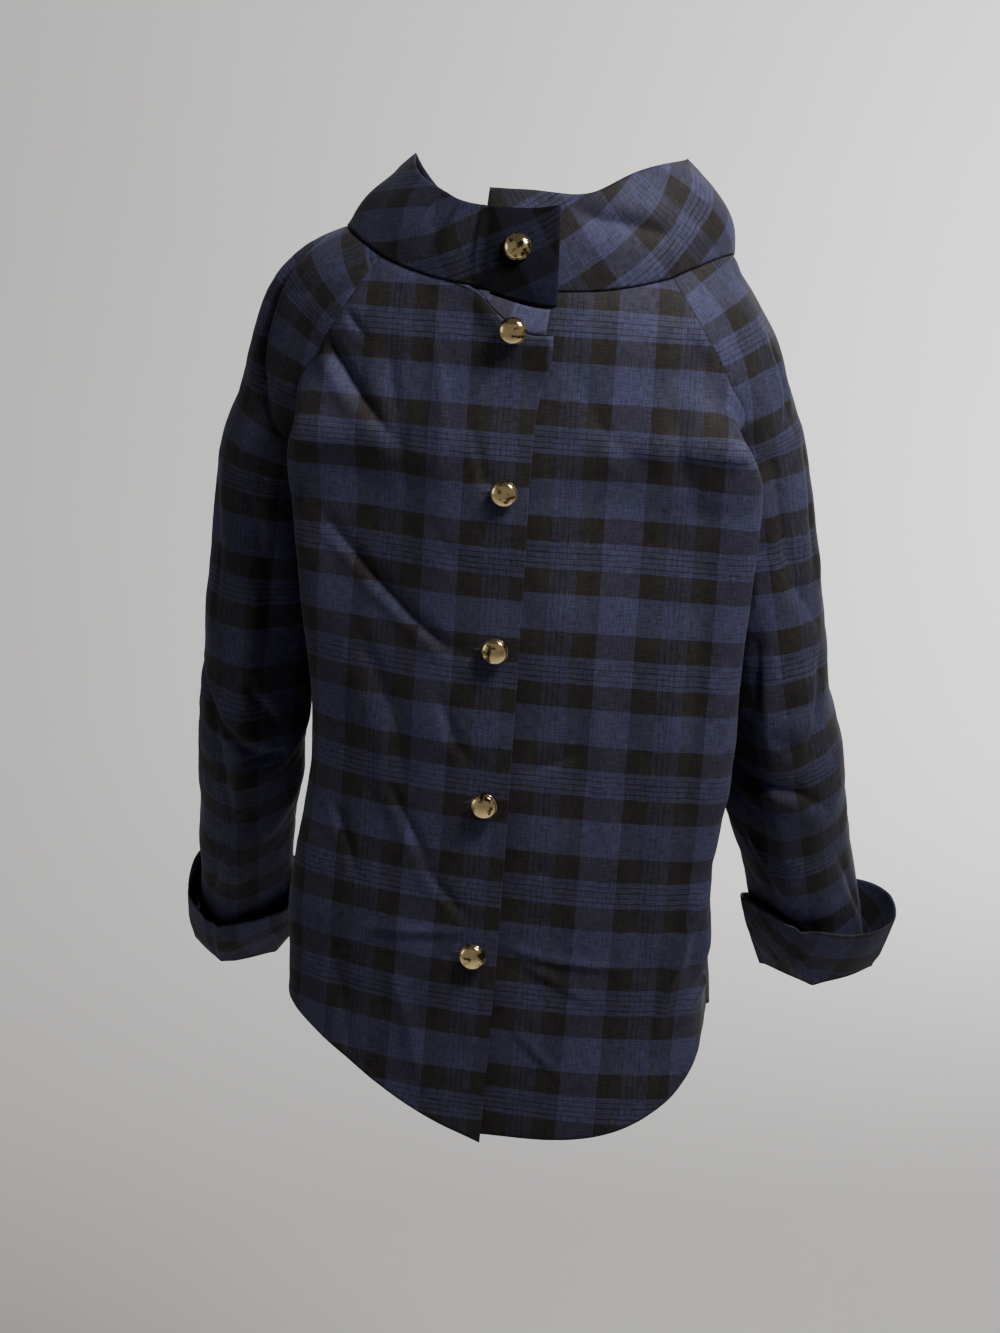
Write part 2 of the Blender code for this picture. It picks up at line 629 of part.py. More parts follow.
def build_collar(cloth):
    grid = collar_grid()
    out = normals(grid, np.zeros(3))
    grid[-1, :, 2] += SEAM_GAP + CLOTH / 2
    return wall("collar", grid, out, cloth), grid, out


# ---------------------------------------------------------------- cuffs, facing, buttons
def round_wrist(values, shares):
    """A size that changes smoothly round the wrist, from its mean, inner and back values."""
    mean, inner, back = values
    return mean + inner * np.cos(2 * math.pi * shares) + back * np.sin(2 * math.pi * shares)


def build_cuff(name, side, cloth):
    """A turned-up cuff: from the sleeve's end it goes back up outside it, and flares."""
    shares = np.linspace(0.0, 1.0, SLEEVE_STEPS + 1)
    end = sleeve_point(side, 2.0, shares)
    up = sleeve_point(side, 1.92, shares).mean(axis=0) - end.mean(axis=0)
    up = unit(up)
    centre = end[:-1].mean(axis=0)
    away = end - centre
    away = unit(away - (away @ up)[:, None] * up)
    height = round_wrist(CUFF_HEIGHT[side], shares)[:, None]
    flare = round_wrist(CUFF_FLARE[side], shares)[:, None]
    rows = []
    for share in CUFF_ROWS[::-1]:
        rows.append(end + up * (height * share - CUFF_DROP) + away * (CUFF_STANDOFF + flare * share))
    rows.append(end - up * CUFF_FOLD + away * SEAM_GAP)
    grid = np.array(rows)
    outward = normals(grid, centre, closed=True)
    return wall(name, grid, outward, cloth, closed_from=0)


def build_facing(panels, outs, collar, cloth):
    """The narrow facing that shows as a ledge between the tab and the top of the lap."""
    lap = panels["back_left"][0, :5][::-1]
    tab = collar[-1, -5:]
    low = lap + np.array([0, 0, SEAM_GAP + CLOTH / 2])
    high = tab - np.array([0, 0, 2 * SEAM_GAP + CLOTH])
    share = np.array((0.0, 0.5, 0.94))[::-1, None, None]
    grid = low[None] * (1 - share) + high[None] * share
    grid = grid[:, :4]
    return wall("neck_facing", grid, normals(grid, np.zeros(3)), cloth)


def build_button(name, place, direction, gold):
    """A domed shank button, turned about its axis, standing on the cloth at a place."""
    profile = [(0.0, 0.0), (SHANK_RADIUS, 0.0), (SHANK_RADIUS, SHANK_HEIGHT), BACK_PLATE]
    dome = BUTTON_HEIGHT - BUTTON_RIM_HEIGHT
    for step in range(6):
        turn = math.radians(90 * step / 5)
        profile.append((BUTTON_RADIUS * math.cos(turn),
                        BUTTON_RIM_HEIGHT + dome * math.sin(turn)))
    profile[-1] = (0.0, BUTTON_HEIGHT)
    axis = unit(direction)
    across = unit(np.cross(axis, (0.0, 0.0, 1.0)))
    up = np.cross(across, axis)
    start = place + axis * (CLOTH / 2 + SHANK_CLEARANCE)
    points = []
    faces = []
    for radius, height in profile[1:-1]:
        for k in range(BUTTON_SIDES):
            turn = 2 * math.pi * k / BUTTON_SIDES
            spoke = across * math.cos(turn) + up * math.sin(turn)
            points.append(start + spoke * radius + axis * height)
    rings = len(profile) - 2
    for ring in range(rings - 1):
        for k in range(BUTTON_SIDES):
            following = (k + 1) % BUTTON_SIDES
            low, high = ring * BUTTON_SIDES, (ring + 1) * BUTTON_SIDES
            faces.append((low + k, low + following, high + following, high + k))
    foot, tip = len(points), len(points) + 1
    points += [start, start + axis * BUTTON_HEIGHT]
    last = (rings - 1) * BUTTON_SIDES
    for k in range(BUTTON_SIDES):
        following = (k + 1) % BUTTON_SIDES
        faces.append((foot, following, k))
        faces.append((tip, last + k, last + following))
    return new_object(name, points, faces, gold)


def at_height(points, outward, z):
    """The place and the normal where a line of points passes height z."""
    order = np.argsort(points[:, 2])
    place = [np.interp(z, points[order, 2], points[order, k]) for k in range(3)]
    direction = [np.interp(z, points[order, 2], outward[order, k]) for k in range(3)]
    return np.array(place), np.array(direction)


def main():
    for obj in list(bpy.data.objects):
        bpy.data.objects.remove(obj, do_unlink=True)
    cloth = material("plaid_cloth", PLAID, 0.7, 0.0)
    gold = material("gold_button", GOLD, 0.18, 1.0)

    panels, outs = build_panels(cloth)
    collar, collar_points, collar_out = build_collar(cloth)
    build_cuff("cuff_left", 1, cloth)
    build_cuff("cuff_right", -1, cloth)
    build_facing(panels, outs, collar_points, cloth)

    tab_column = -LAP_STEPS - 1
    low = collar_points[-1, tab_column, 2]
    height = low + TAB_BUTTON_SHARE * (RIM_BACK_HEIGHT - low)
    place, direction = at_height(collar_points[:, tab_column], collar_out[:, tab_column], height)
    build_button("button_1", place, direction, gold)
    line, line_out = panels["back_left"][:, LAP_STEPS], outs["back_left"][:, LAP_STEPS]
    for k in range(BACK_BUTTONS):
        depth = FIRST_BUTTON_DEPTH + k * BUTTON_SPACING
        place, direction = at_height(line, line_out, -depth)
        build_button(f"button_{k + 2}", place, direction, gold)


main()
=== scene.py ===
# %% [markdown]
# # A tartan cowl neck top, buttoned down the back
# The part is a loose raglan top, shown as it hangs when it is worn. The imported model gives
# its plain walls; this lesson makes the cloth that is seen: panels with their creases, a
# tartan that follows the threads, a stand-away collar with its lapped tab, turned-up cuffs
# and domed buttons. Every piece is a surface worked out from a formula, so a learner can
# change a number and see the garment change.

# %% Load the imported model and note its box
import math

import bpy
import numpy as np
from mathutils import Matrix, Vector


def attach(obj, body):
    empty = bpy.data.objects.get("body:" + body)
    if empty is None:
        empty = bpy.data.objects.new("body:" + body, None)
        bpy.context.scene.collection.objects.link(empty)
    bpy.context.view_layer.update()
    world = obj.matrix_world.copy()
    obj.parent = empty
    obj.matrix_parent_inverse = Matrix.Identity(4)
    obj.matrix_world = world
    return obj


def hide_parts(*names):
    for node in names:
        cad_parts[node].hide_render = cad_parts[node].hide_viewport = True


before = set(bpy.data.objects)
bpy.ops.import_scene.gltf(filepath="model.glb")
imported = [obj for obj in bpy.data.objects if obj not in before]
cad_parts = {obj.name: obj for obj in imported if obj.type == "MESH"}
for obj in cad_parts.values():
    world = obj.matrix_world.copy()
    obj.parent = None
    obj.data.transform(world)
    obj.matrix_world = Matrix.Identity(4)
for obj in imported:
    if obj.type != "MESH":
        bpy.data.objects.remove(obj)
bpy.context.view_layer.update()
MM = 0.001
print("nodes:", ", ".join(sorted(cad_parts)))

# %% [markdown]
# ## Curves through a few measured rows
# A dressmaker checks a garment at the neck, chest, armpit, elbow and hem, and the cloth
# runs smoothly between. A table holds those places and a cubic joins them. A spline object
# would also do it, but here whole arrays of places are needed at once.

# %% Smooth columns and small helpers
def ease(x):
    """0 below 0, 1 above 1 and a smooth S between: x squared times (3 - 2x)."""
    x = np.clip(x, 0.0, 1.0)
    return x * x * (3 - 2 * x)


def bell(x):
    """1 at 0, dying away smoothly on both sides: e to the power of minus x squared."""
    return np.exp(-x ** 2)


def unit(vectors):
    """Vectors divided by their lengths."""
    return vectors / np.maximum(np.linalg.norm(vectors, axis=-1, keepdims=True), 1e-12)


def dot(a, b):
    """Row by row products, summed and kept as one column."""
    return np.sum(a * b, axis=-1, keepdims=True)


def running_length(points, axis=0):
    """The length so far along a line of points, or along every line of a grid of them."""
    step = np.linalg.norm(np.diff(points, axis=axis), axis=-1)
    start = np.zeros_like(np.take(step, [0], axis=axis))
    return np.concatenate([start, np.cumsum(step, axis=axis)], axis=axis)


def read_between(x, at, values):
    """Three columns of values, read at x between the rising numbers they stand at."""
    return np.stack([np.interp(x, at, values[:, k]) for k in range(3)], axis=-1)


def smooth_columns(table, level, *names):
    """A table's columns at any level: a cubic between rows, sloped as the neighbours slope."""
    rows = np.array(table["rows"], dtype=float)
    levels = rows[:, 0]
    values = rows[:, [table["columns"].index(name) for name in names]]
    slopes = np.gradient(values, levels, axis=0)
    level = np.clip(np.asarray(level, dtype=float), levels[0], levels[-1])
    low = np.clip(np.searchsorted(levels, level, side="right") - 1, 0, len(levels) - 2)
    step = (levels[low + 1] - levels[low])[..., None]
    t = (level - levels[low])[..., None] / step
    start = (1 + 2 * t) * (1 - t) ** 2 * values[low] + t * (1 - t) ** 2 * step * slopes[low]
    end = t * t * (3 - 2 * t) * values[low + 1] - t * t * (1 - t) * step * slopes[low + 1]
    return np.moveaxis(start + end, -1, 0)


print("ease at a quarter and a half:", ease(0.25), ease(0.5))

# %% [markdown]
# ## The garment's measurements
# A place on a panel or a sleeve is given by its level: 0 at the neck seam, 1 at the armpit
# and 2 at the hem or the wrist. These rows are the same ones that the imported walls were
# made from, so the seen cloth lies on them.

# %% Tables of the cut, in millimetres and degrees
CENTRE_LINES = {
    "columns": ("level", "back_y", "back_z", "front_y", "front_z"),
    "rows": (
        (0.0, 90, -25, -90, -78),
        (0.5, 101, -105, -117, -135),
        (1.0, 107, -188, -128, -194),
        (1.25, 110, -320, -127, -312),
        (1.5, 110, -450, -123, -435),
        (1.75, 111, -572, -122, -548),
        (2.0, 114, -687, -124, -652),
    ),
}
SIDE_LINES = {
    "columns": ("level", "z", "y", "left", "right", "back_half_left", "back_half_right",
                "front_half_left", "front_half_right"),
    "rows": (
        (0.5, -110, -6, 150, 146, 160, 156, 156, 152),
        (1.0, -191, -10, 135.4, 116.6, 172, 188, 166, 166),
        (1.2, -285, -10, 138, 124, 158, 184, 156, 162),
        (1.45, -409, -6, 144, 140, 146, 176, 150, 148),
        (1.7, -515, -4, 153, 158, 154, 164, 154, 146),
        (2.0, -596, -4, 152, 170, 150, 168, 150, 150),
    ),
}
SLEEVE_COLUMNS = ("level", "outer_x", "outer_z", "seam_z", "half_width", "half_depth",
                  "middle_y", "dip", "angle")
SLEEVE_RINGS = {
    -1: {
        "columns": SLEEVE_COLUMNS,
        "rows": (
            (0.0, 148, 0, -22.5, 148, 90, 0, -17, -48.5),
            (0.25, 167, -37, -60, 109, 104, -2, -20, -45),
            (0.5, 181, -70, -100, 79, 90, -3, -15, -42),
            (0.75, 192, -108, -138, 56, 64, -5, -8, -28),
            (0.875, 197, -128, -154, 43, 50, -8, 0, 15),
            (1.0, 203, -147, -190, 47, 47, -10, 0, 90),
            (1.25, 215, -232, -250, 43, 44, -12, 2, 90),
            (1.5, 228, -345, -350, 47, 47, -20, 8, 90),
            (1.7, 237, -430, -432, 49, 45, -48, 14, 90),
            (1.85, 242, -506, -508, 45, 43, -82, 14, 90),
            (2.0, 252, -600, -602, 43, 41, -120, 5, 90),
        ),
    },
    1: {
        "columns": SLEEVE_COLUMNS,
        "rows": (
            (0.0, 148, 0, -22.5, 148, 90, 0, -17, -48.5),
            (0.25, 184, -20, -56, 171, 102, -2, -18, -45),
            (0.5, 213, -49, -92, 166, 90, -3, -14, -42),
            (0.75, 230, -94, -133, 106, 68, -5, -8, -28),
            (0.875, 239, -125, -162, 61, 50, -8, -4, 15),
            (1.0, 251, -155, -191, 54, 49, -10, 0, 90),
            (1.25, 264, -240, -252, 53, 47, -11, 2, 90),
            (1.5, 275, -345, -350, 45, 46, -20, 9, 90),
            (1.7, 289, -430, -434, 44, 44, -50, 18, 90),
            (1.85, 298, -505, -509, 39, 42, -88, 20, 90),
            (2.0, 313, -600, -604, 39, 40, -132, 21, 90),
        ),
    },
}
SIDE_NAMES = {1: "left", -1: "right"}  # as the wearer has them
# Lengths from here on are in metres. The top leans to its left by LEAN at LEAN_DEPTH.
LEAN, LEAN_DEPTH, LEAN_POWER = 0.040, 0.650, 1.35
# The slopes of the shoulders and the hem, and how oval the body is (1) or how square (less).
SHOULDER_TILT, HEM_TILT, SQUARENESS = 0.049, 0.060, 0.82
# The level where the hem starts to curve, and how its left, right and covered parts climb.
HEM_START, HEM_STRAIGHT, HEM_ROUND, HEM_COVERED = 1.3, 0.55, 4.7, 0.8
# The loose fold beside the arm: its share of the panel, the levels where it starts, is full
# and turns soft, and how far it also stands back.
WING_SHARE, WING_START, WING_FULL, WING_SOFTENS, WING_BACK = 0.66, 0.40, 0.95, 1.35, 0.30
WING_POWER = math.log(0.5) / math.log(WING_SHARE)
NARROWING = 0.60          # how much the arm's inner side is flattened
NECK_HALF_WIDTH, NECK_HALF_DEPTH = 0.148, 0.090
NECK_SEAM_TURN = 48.5     # degrees round the neck from the centre back to the raglan seam
SEAM_GAP = 0.0003
CLOTH = 0.0009            # the seen cloth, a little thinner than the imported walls
BACK_LAP, UNDER_LAP = 0.024, 0.022
LAP_OFFSET = 0.0011
print("the backs overlap by", round((BACK_LAP + UNDER_LAP) / MM), "mm")

# %% [markdown]
# ## The sleeve's surface
# A raglan sleeve is one piece from the neck, over the shoulder, to the wrist. Each level is
# an oval ring round the arm. Above the armpit the ring is open, and its two ends lie on the
# raglan seams; below, it closes into a tube. Lofting curves would give the same form, but
# the formula also says where any thread lies.

# %% Sleeve rings
def lean(z):
    """The body's middle moves left as it goes down: LEAN times (depth / 0.65) to a power."""
    return LEAN * (np.maximum(-z, 0.0) / LEAN_DEPTH) ** LEAN_POWER


def tilted(points, level):
    """Adds the slope of the shoulders near the neck, and of the hem low down, to the heights."""
    slope = SHOULDER_TILT * (1 - ease(level)) + HEM_TILT * ease(level - 1.0)
    points = points.copy()
    points[..., 2] += slope * points[..., 0]
    return points


def seam_angle(side, level):
    """How far a raglan seam lies past the ring's widest line, in radians."""
    angle = smooth_columns(SLEEVE_RINGS[side], level, "angle")[0]
    return np.radians(np.minimum(angle, 90.0))


def sleeve_ring(side, level, turn):
    """An oval: outwards by the sine of the turn, backwards by its cosine, dipping with it."""
    outer_x, outer_z, seam_z, half_width, half_depth, middle_y, dip = smooth_columns(
        SLEEVE_RINGS[side], level, *SLEEVE_COLUMNS[1:-1])
    rise = (outer_z - seam_z) / (1 + np.sin(seam_angle(side, level)))
    inward = 1 - np.sin(turn)
    x = outer_x - half_width * inward
    depth = half_depth * (1 - NARROWING * np.maximum(-np.sin(turn), 0))
    y = middle_y + depth * np.cos(turn)
    z = outer_z - rise * inward - dip * np.cos(turn)
    return np.stack(np.broadcast_arrays(side * x, y, z), axis=-1) * MM


def sleeve_point(side, level, share):
    """The sleeve at a level: share 0 at its back seam, 1 at its front seam."""
    level, share = np.broadcast_arrays(np.asarray(level, float), np.asarray(share, float))
    angle = seam_angle(side, level)
    turn = -angle + share * (math.pi + 2 * angle)
    return tilted(sleeve_ring(side, level, turn), np.minimum(level, 1.0))


print("the left sleeve's outer line ends at", sleeve_point(1, [2.0], 0.5)[0].round(3))

# %% [markdown]
# ## The panels' surface
# A back or front panel is a flattened quarter of an oval from its centre line to its side.
# Beside the arms the loose cloth stands out in a long soft fold, so a hump carries it out.

# %% Panel formulas
def panel_edge(side, face, level):
    """A panel's outer edge: the raglan seam down to the armpit, then the side seam."""
    cap = np.minimum(level, 1.0)
    angle = seam_angle(side, cap)
    raglan = sleeve_ring(side, cap, -angle if face > 0 else math.pi + angle)
    half, y, z = smooth_columns(SIDE_LINES, level, SIDE_NAMES[side], "y", "z") * MM
    seam = np.stack([side * half + lean(z), y, z], axis=-1)
    return np.where((level < 1.0)[..., None], raglan, seam)


def hem_curve(side, across):
    """How the back hem climbs from its middle (0) to the side seam (1).

    The left one climbs almost straight, the right one in a round shirt tail. Where the
    right one is covered by the lap, it climbs too, so that it stays hidden.
    """
    if side > 0:
        return HEM_STRAIGHT * across + (1 - HEM_STRAIGHT) * across * np.abs(across)
    return np.where(across < 0, -HEM_COVERED * across, np.abs(across) ** HEM_ROUND)


def panel_surface(side, face, level, share):
    """Centre line plus a quarter oval to the edge, plus the hump beside the arm."""
    level, share = np.broadcast_arrays(np.asarray(level, float), np.asarray(share, float))
    key = "back" if face > 0 else "front"
    y, z = smooth_columns(CENTRE_LINES, level, key + "_y", key + "_z") * MM
    centre = np.stack([lean(z), y, z], axis=-1)
    edge = panel_edge(side, face, level)
    top = np.radians(NECK_SEAM_TURN + (90 - NECK_SEAM_TURN) * ease(level))
    power = 1 - (1 - SQUARENESS) * ease(level)
    turn = np.abs(share) * top
    across = np.sign(share) * (np.sin(turn) / np.sin(top)) ** power
    deep = (1 - np.cos(turn) ** power) / (1 - np.clip(np.cos(top), 0, 1) ** power)
    low = ease((level - HEM_START) / (2 - HEM_START)) * (face > 0)
    fall = deep + (hem_curve(side, across) - deep) * low
    points = centre + (edge - centre) * np.stack([across, deep, fall], axis=-1)
    sharpness = 2 + 2 * ease((WING_SOFTENS - level) / 0.3)
    hump = np.sin(math.pi * np.clip(np.abs(share), 0, 1) ** WING_POWER) ** sharpness
    at_wing = np.sin(WING_SHARE * top) / np.sin(top)
    half = smooth_columns(SIDE_LINES, level, key + "_half_" + SIDE_NAMES[side])[0] * MM
    reach = half - side * (edge[..., 0] - lean(edge[..., 2])) * at_wing ** power
    out = np.maximum(reach, 0.0) * ease((level - WING_START) / (WING_FULL - WING_START)) * hump
    points = points + np.stack([side * out, face * out * WING_BACK, 0 * out], axis=-1)
    return tilted(points, level)


def centre_share(side, level, distance):
    """The share that lies a distance past the centre back, always negative."""
    step = 0.01
    near = panel_surface(side, 1, level, np.full(np.shape(level), step))
    far = panel_surface(side, 1, level, np.zeros(np.shape(level)))
    return -distance * step / np.linalg.norm(near - far, axis=-1)


print("the centre back ends at", panel_surface(1, 1, [2.0], 0.0)[0].round(3))

# %% [markdown]
# ## Where the threads run
# Tartan shows every thread's direction, so the pattern has to be carried over the form as
# cloth is. From one line where the grain is known, the thread direction is slid along each
# row without twisting, and the steps along and across it are added up. Projecting the
# pattern from one side would be simpler, but it stretches wherever the form turns away.

# %% Normals and thread places
NORMAL_SMOOTHING = 2      # passes of averaging with the neighbours


def surface_normals(grid, inside, closed=False):
    """Across times down at each grid point, turned to point away from a place inside."""
    if closed:
        wrapped = np.concatenate([grid[:, -2:-1], grid, grid[:, 1:2]], axis=1)
        across = wrapped[:, 2:] - wrapped[:, :-2]
    else:
        across = np.gradient(grid, axis=1)
    out = np.cross(unit(across), unit(np.gradient(grid, axis=0)))
    for _ in range(NORMAL_SMOOTHING):
        out = unit(out)
        out[:, 1:-1] += 0.5 * (out[:, :-2] + out[:, 2:])
        out[1:-1] += 0.5 * (out[:-2] + out[2:])
    out = unit(out)
    return out if np.sum(out * (grid - inside)) > 0 else -out


def thread_places(grid, outward, start):
    """Across and along the warp, in metres, for each grid point.

    Down the start column they are 0 and the length so far. From it the thread direction is
    carried sideways: made flat to each next normal, then the step is split along and across.
    """
    rows, columns = grid.shape[:2]
    places = np.zeros((rows, columns, 2))
    places[:, start, 1] = running_length(grid[:, start])
    for step in (1, -1):
        stop = columns - 1 if step > 0 else 0
        warp = unit(np.gradient(grid[:, start], axis=0))
        for column in range(start, stop, step):
            following = column + step
            move = grid[:, following] - grid[:, column]
            normal = outward[:, following]
            warp = unit(warp - dot(warp, normal) * normal)
            weft = np.cross(normal, warp)
            split = np.concatenate([dot(move, weft), dot(move, warp)], axis=-1)
            places[:, following] = places[:, column] + split
    return places


print("normals are averaged", NORMAL_SMOOTHING, "times")

# %% [markdown]
# ## Creases and soft hollows
# Crisp cotton drags into long creases between a button and a shoulder, and crumples at the
# elbow. Each main one is given as a path with a trough and a ridge beside it, and soft
# noise makes the rest. A cloth simulation makes creases too, but not where they are
# wanted.

# %% Creases laid along paths
CREASE_DEPTH, CREASE_WIDTH, RIDGE_SHARE = 1.6, 0.85, 0.45


def path_distance(places, path):
    """Signed distance to a path of points, and how far along it, from 0 to 1."""
    path = np.array(path, dtype=float)
    lengths = np.linalg.norm(np.diff(path, axis=0), axis=-1)
    total = lengths.sum()
    best = np.full(places.shape[:-1], 1e9)
    signed = np.zeros(places.shape[:-1])
    along = np.zeros(places.shape[:-1])
    done = 0.0
    for first, second, length in zip(path[:-1], path[1:], lengths):
        direction = (second - first) / length
        away = places - first
        t = np.clip(away @ direction, 0.0, length)
        off = away - t[..., None] * direction
        distance = np.linalg.norm(off, axis=-1)
        nearer = distance < best
        best = np.where(nearer, distance, best)
        cross = direction[0] * away[..., 1] - direction[1] * away[..., 0]
        signed = np.where(nearer, np.where(cross < 0, -distance, distance), signed)
        along = np.where(nearer, (done + t) / total, along)
        done += length
    return signed, along


def crease_height(places, creases, scale=1.0):
    """Trough times a sharp bell of the distance, plus a ridge nearly two widths to the side."""
    total = np.zeros(places.shape[:-1])
    for path, width, trough, ridge in creases:
        signed, along = path_distance(places, np.array(path) * scale * MM)
        wide = CREASE_WIDTH * width * MM
        fade = np.clip(np.sin(math.pi * np.clip(along, 0.02, 0.98)), 0, 1) ** 0.6
        valley = trough * np.exp(-(np.abs(signed) / wide) ** 1.35)
        beside = RIDGE_SHARE * ridge * bell((signed - 1.8 * wide) / (1.3 * wide))
        total += CREASE_DEPTH * (valley + beside) * MM * fade
    return total


straight = (((-20, 0), (20, 0)), 5, -2.0, 1.0)
depth = -crease_height(np.zeros((1, 2)), [straight])[0] / MM
print("a trough of 2 mm with its ridge sinks the cloth by", depth.round(2), "mm")


# %% Soft noise and crumples
def soft_noise(places, wavelength, seed):
    """A sum of nine waves in turned directions, from about -1 to 1."""
    chance = np.random.default_rng(seed)
    total = np.zeros(places.shape[:-1])
    for _ in range(9):
        heading = chance.uniform(0, math.pi)
        length = wavelength * chance.uniform(0.7, 1.5)
        phase = chance.uniform(0, 2 * math.pi)
        wave = places @ np.array([math.cos(heading), math.sin(heading)])
        bend = 0.35 * np.sin(places[..., 1] / (wavelength * 2.3) + phase)
        total += np.sin(2 * math.pi * wave / length + phase + bend)
    return total / 4.0


def crumple(places, wavelength, seed):
    """Soft noise folded at zero, which leaves fine sharp valleys as pressed cotton has."""
    noise = soft_noise(places, wavelength, seed)
    return np.sqrt(noise * noise + 0.02) - 0.6


def unevenness(places, rows, seed, stress=0.0):
    """Noises added up. Each row names its kind, height, height added by stress, and length."""
    return sum((height + added * stress) * kind(places, length, seed + k)
               for k, (kind, height, added, length) in enumerate(rows))


line = np.linspace((0, 0), (1, 0), 200)
print("soft noise along a metre reaches", np.abs(soft_noise(line, 0.1, 0)).max().round(2))

# %% [markdown]
# ## From a grid to a piece of cloth
# A grid of points becomes a mesh of four-sided faces, with the thread places as its UV map
# in metres. Solidify gives it the cloth's thickness. A sleeve's grid closes into a tube
# below the armpit, so its first and last columns share their points there.

# %% Mesh builders
pieces = {}


def cell_corners(values):
    """The values at the four corners of each cell of a grid, going round it."""
    return np.stack([values[:-1, :-1], values[:-1, 1:], values[1:, 1:], values[1:, :-1]], axis=2)


def point_numbers(grid, closed=False):
    """Each point's number in a grid, with the first column's once more if it is closed."""
    numbers = np.arange(grid.shape[0] * grid.shape[1]).reshape(grid.shape[:2])
    return np.concatenate([numbers, numbers[:, :1]], axis=1) if closed else numbers


def mesh_object(name, points, faces, material=None):
    """A smooth mesh of points and faces, as an object in the scene."""
    mesh = bpy.data.meshes.new(name)
    mesh.from_pydata(points.reshape(-1, 3).tolist(), [], faces)
    mesh.shade_smooth()
    if material is not None:
        mesh.materials.append(material)
    obj = bpy.data.objects.new(name, mesh)
    bpy.context.scene.collection.objects.link(obj)
    return obj


def cloth_piece(name, grid, places, closed_from=None, thickness=CLOTH, shade=None):
    """A mesh of the grid's cells with its threads as a UV map and its painted shade, thickened both
    ways.
    """
    index = point_numbers(grid)
    if closed_from is not None:
        index[closed_from:, -1] = index[closed_from:, 0]
    used, flat = np.unique(cell_corners(index).reshape(-1, 4), return_inverse=True)
    faces = flat.reshape(-1, 4).tolist()
    obj = mesh_object(name, grid.reshape(-1, 3)[used], faces)
    layer = obj.data.uv_layers.new(name="threads")
    layer.data.foreach_set("uv", cell_corners(places).reshape(-1))
    # Painted shade for each point: 1 where none is painted, less where the cloth lies in shadow.
    painted_shade_layer = obj.data.attributes.new("shade", "FLOAT", "POINT")
    depth = np.ones(index.size) if shade is None else shade.reshape(-1)
    painted_shade_layer.data.foreach_set("value", depth[used].astype(np.float32))
    solid = obj.modifiers.new("cloth thickness", "SOLIDIFY")
    solid.thickness = thickness
    solid.offset = 0.0
    pieces[name] = obj
    print(name, "cells", len(faces))


print("3 by 4 points have", cell_corners(point_numbers(np.zeros((3, 4)))).shape[:2], "cells")

# %% [markdown]
# ## Building materials from nodes
# A shader is a tree of small nodes, each fed by the ones before it. These helpers make one
# node at a time, so that a material below reads as a list of steps.

# %% Node helpers
def output(source):
    """A node's first output, or the socket itself if the source is one."""
    return source.outputs[0] if isinstance(source, bpy.types.Node) else source


def node(tree, kind, *sources, **settings):
    """A new node, fed in order by the sources.

    In its settings, in_3 is the value of input 3 and from_3 is a source that feeds it.
    """
    made = tree.nodes.new(kind)
    links = list(enumerate(sources))
    for key, value in settings.items():
        if key.startswith("in_"):
            made.inputs[int(key[3:])].default_value = value
        elif key.startswith("from_"):
            links.append((int(key[5:]), value))
        else:
            setattr(made, key, value)
    for place, source in links:
        tree.links.new(output(source), made.inputs[place])
    return made


def number(tree, operation, *sources, **settings):
    """A node that works out one number from its sources."""
    return node(tree, "ShaderNodeMath", *sources, operation=operation, **settings)


def feed(tree, target, name, source):
    """Joins a source to the input of that name."""
    tree.links.new(output(source), target.inputs[name])


def new_material(name, roughness):
    """A material of a given roughness, with its node tree and its shader."""
    material = bpy.data.materials.new(name)
    material.use_nodes = True
    shader = material.node_tree.nodes["Principled BSDF"]
    shader.inputs["Roughness"].default_value = roughness
    return material, material.node_tree, shader


def object_noise(tree, scale, detail=2.0):
    """Noise that sits still on the object."""
    where = node(tree, "ShaderNodeTexCoord").outputs["Object"]
    return node(tree, "ShaderNodeTexNoise", where, in_2=scale, in_3=detail)


def flat_noise(tree, places, scale, detail):
    """Noise on a flat map of places."""
    return node(tree, "ShaderNodeTexNoise", places, noise_dimensions="2D", in_2=scale, in_3=detail)


def colour_between(tree, shader, source, low, high, low_at=0.0, high_at=1.0):
    """The shader's colour, blended from low to high as the source rises."""
    ramp = node(tree, "ShaderNodeValToRGB", source)
    ends = ramp.color_ramp.elements
    ends[0].position = low_at
    ends[1].position = high_at
    ends[0].color = (*low, 1)
    ends[1].color = (*high, 1)
    feed(tree, shader, "Base Color", ramp)


def add_bump(tree, shader, source, strength, distance):
    """Fine relief on the shader, as high as the source."""
    bump = node(tree, "ShaderNodeBump")
    bump.inputs["Strength"].default_value = strength
    bump.inputs["Distance"].default_value = distance
    feed(tree, bump, "Height", source)
    feed(tree, shader, "Normal", bump)


# %% [markdown]
# ## The tartan
# A tartan is one list of stripes used both ways. Where a warp stripe crosses the same weft
# stripe the colour is pure; elsewhere the twill mixes the two. Two colour ramps read the
# thread places, one for each way, and a fine twill mixes them. A painted image would fix
# the pattern's sharpness; ramps stay crisp from any distance.

# %% Stripes of the sett
SETT = 0.0872
TWILL_STEP = 0.0016       # between two of the twill's diagonal lines
WEFT_SHARE, TWILL_SWING = 0.59, 0.20  # the weft's share of the face, and how much it varies
FINE_STREAK, LONG_STREAK = 1100, 110  # yarn streaks to a metre, across and along a thread
DARK_YARN, LIGHT_YARN = 0.44, 1.54    # the darkest and lightest yarn, as shares of its colour
GLINT = 0.16              # the shine of cloth that lies in full light
NAVY, BROWN, OLIVE, SLATE, DARK = "navy", "brown", "olive", "slate", "dark"
CLOTH_COLOURS = {
    NAVY: (0.0372, 0.0380, 0.0775),
    BROWN: (0.0120, 0.0096, 0.0098),
    OLIVE: (0.0160, 0.0172, 0.0150),
    SLATE: (0.0265, 0.0290, 0.0560),
    DARK: (0.0162, 0.0132, 0.0128),
}
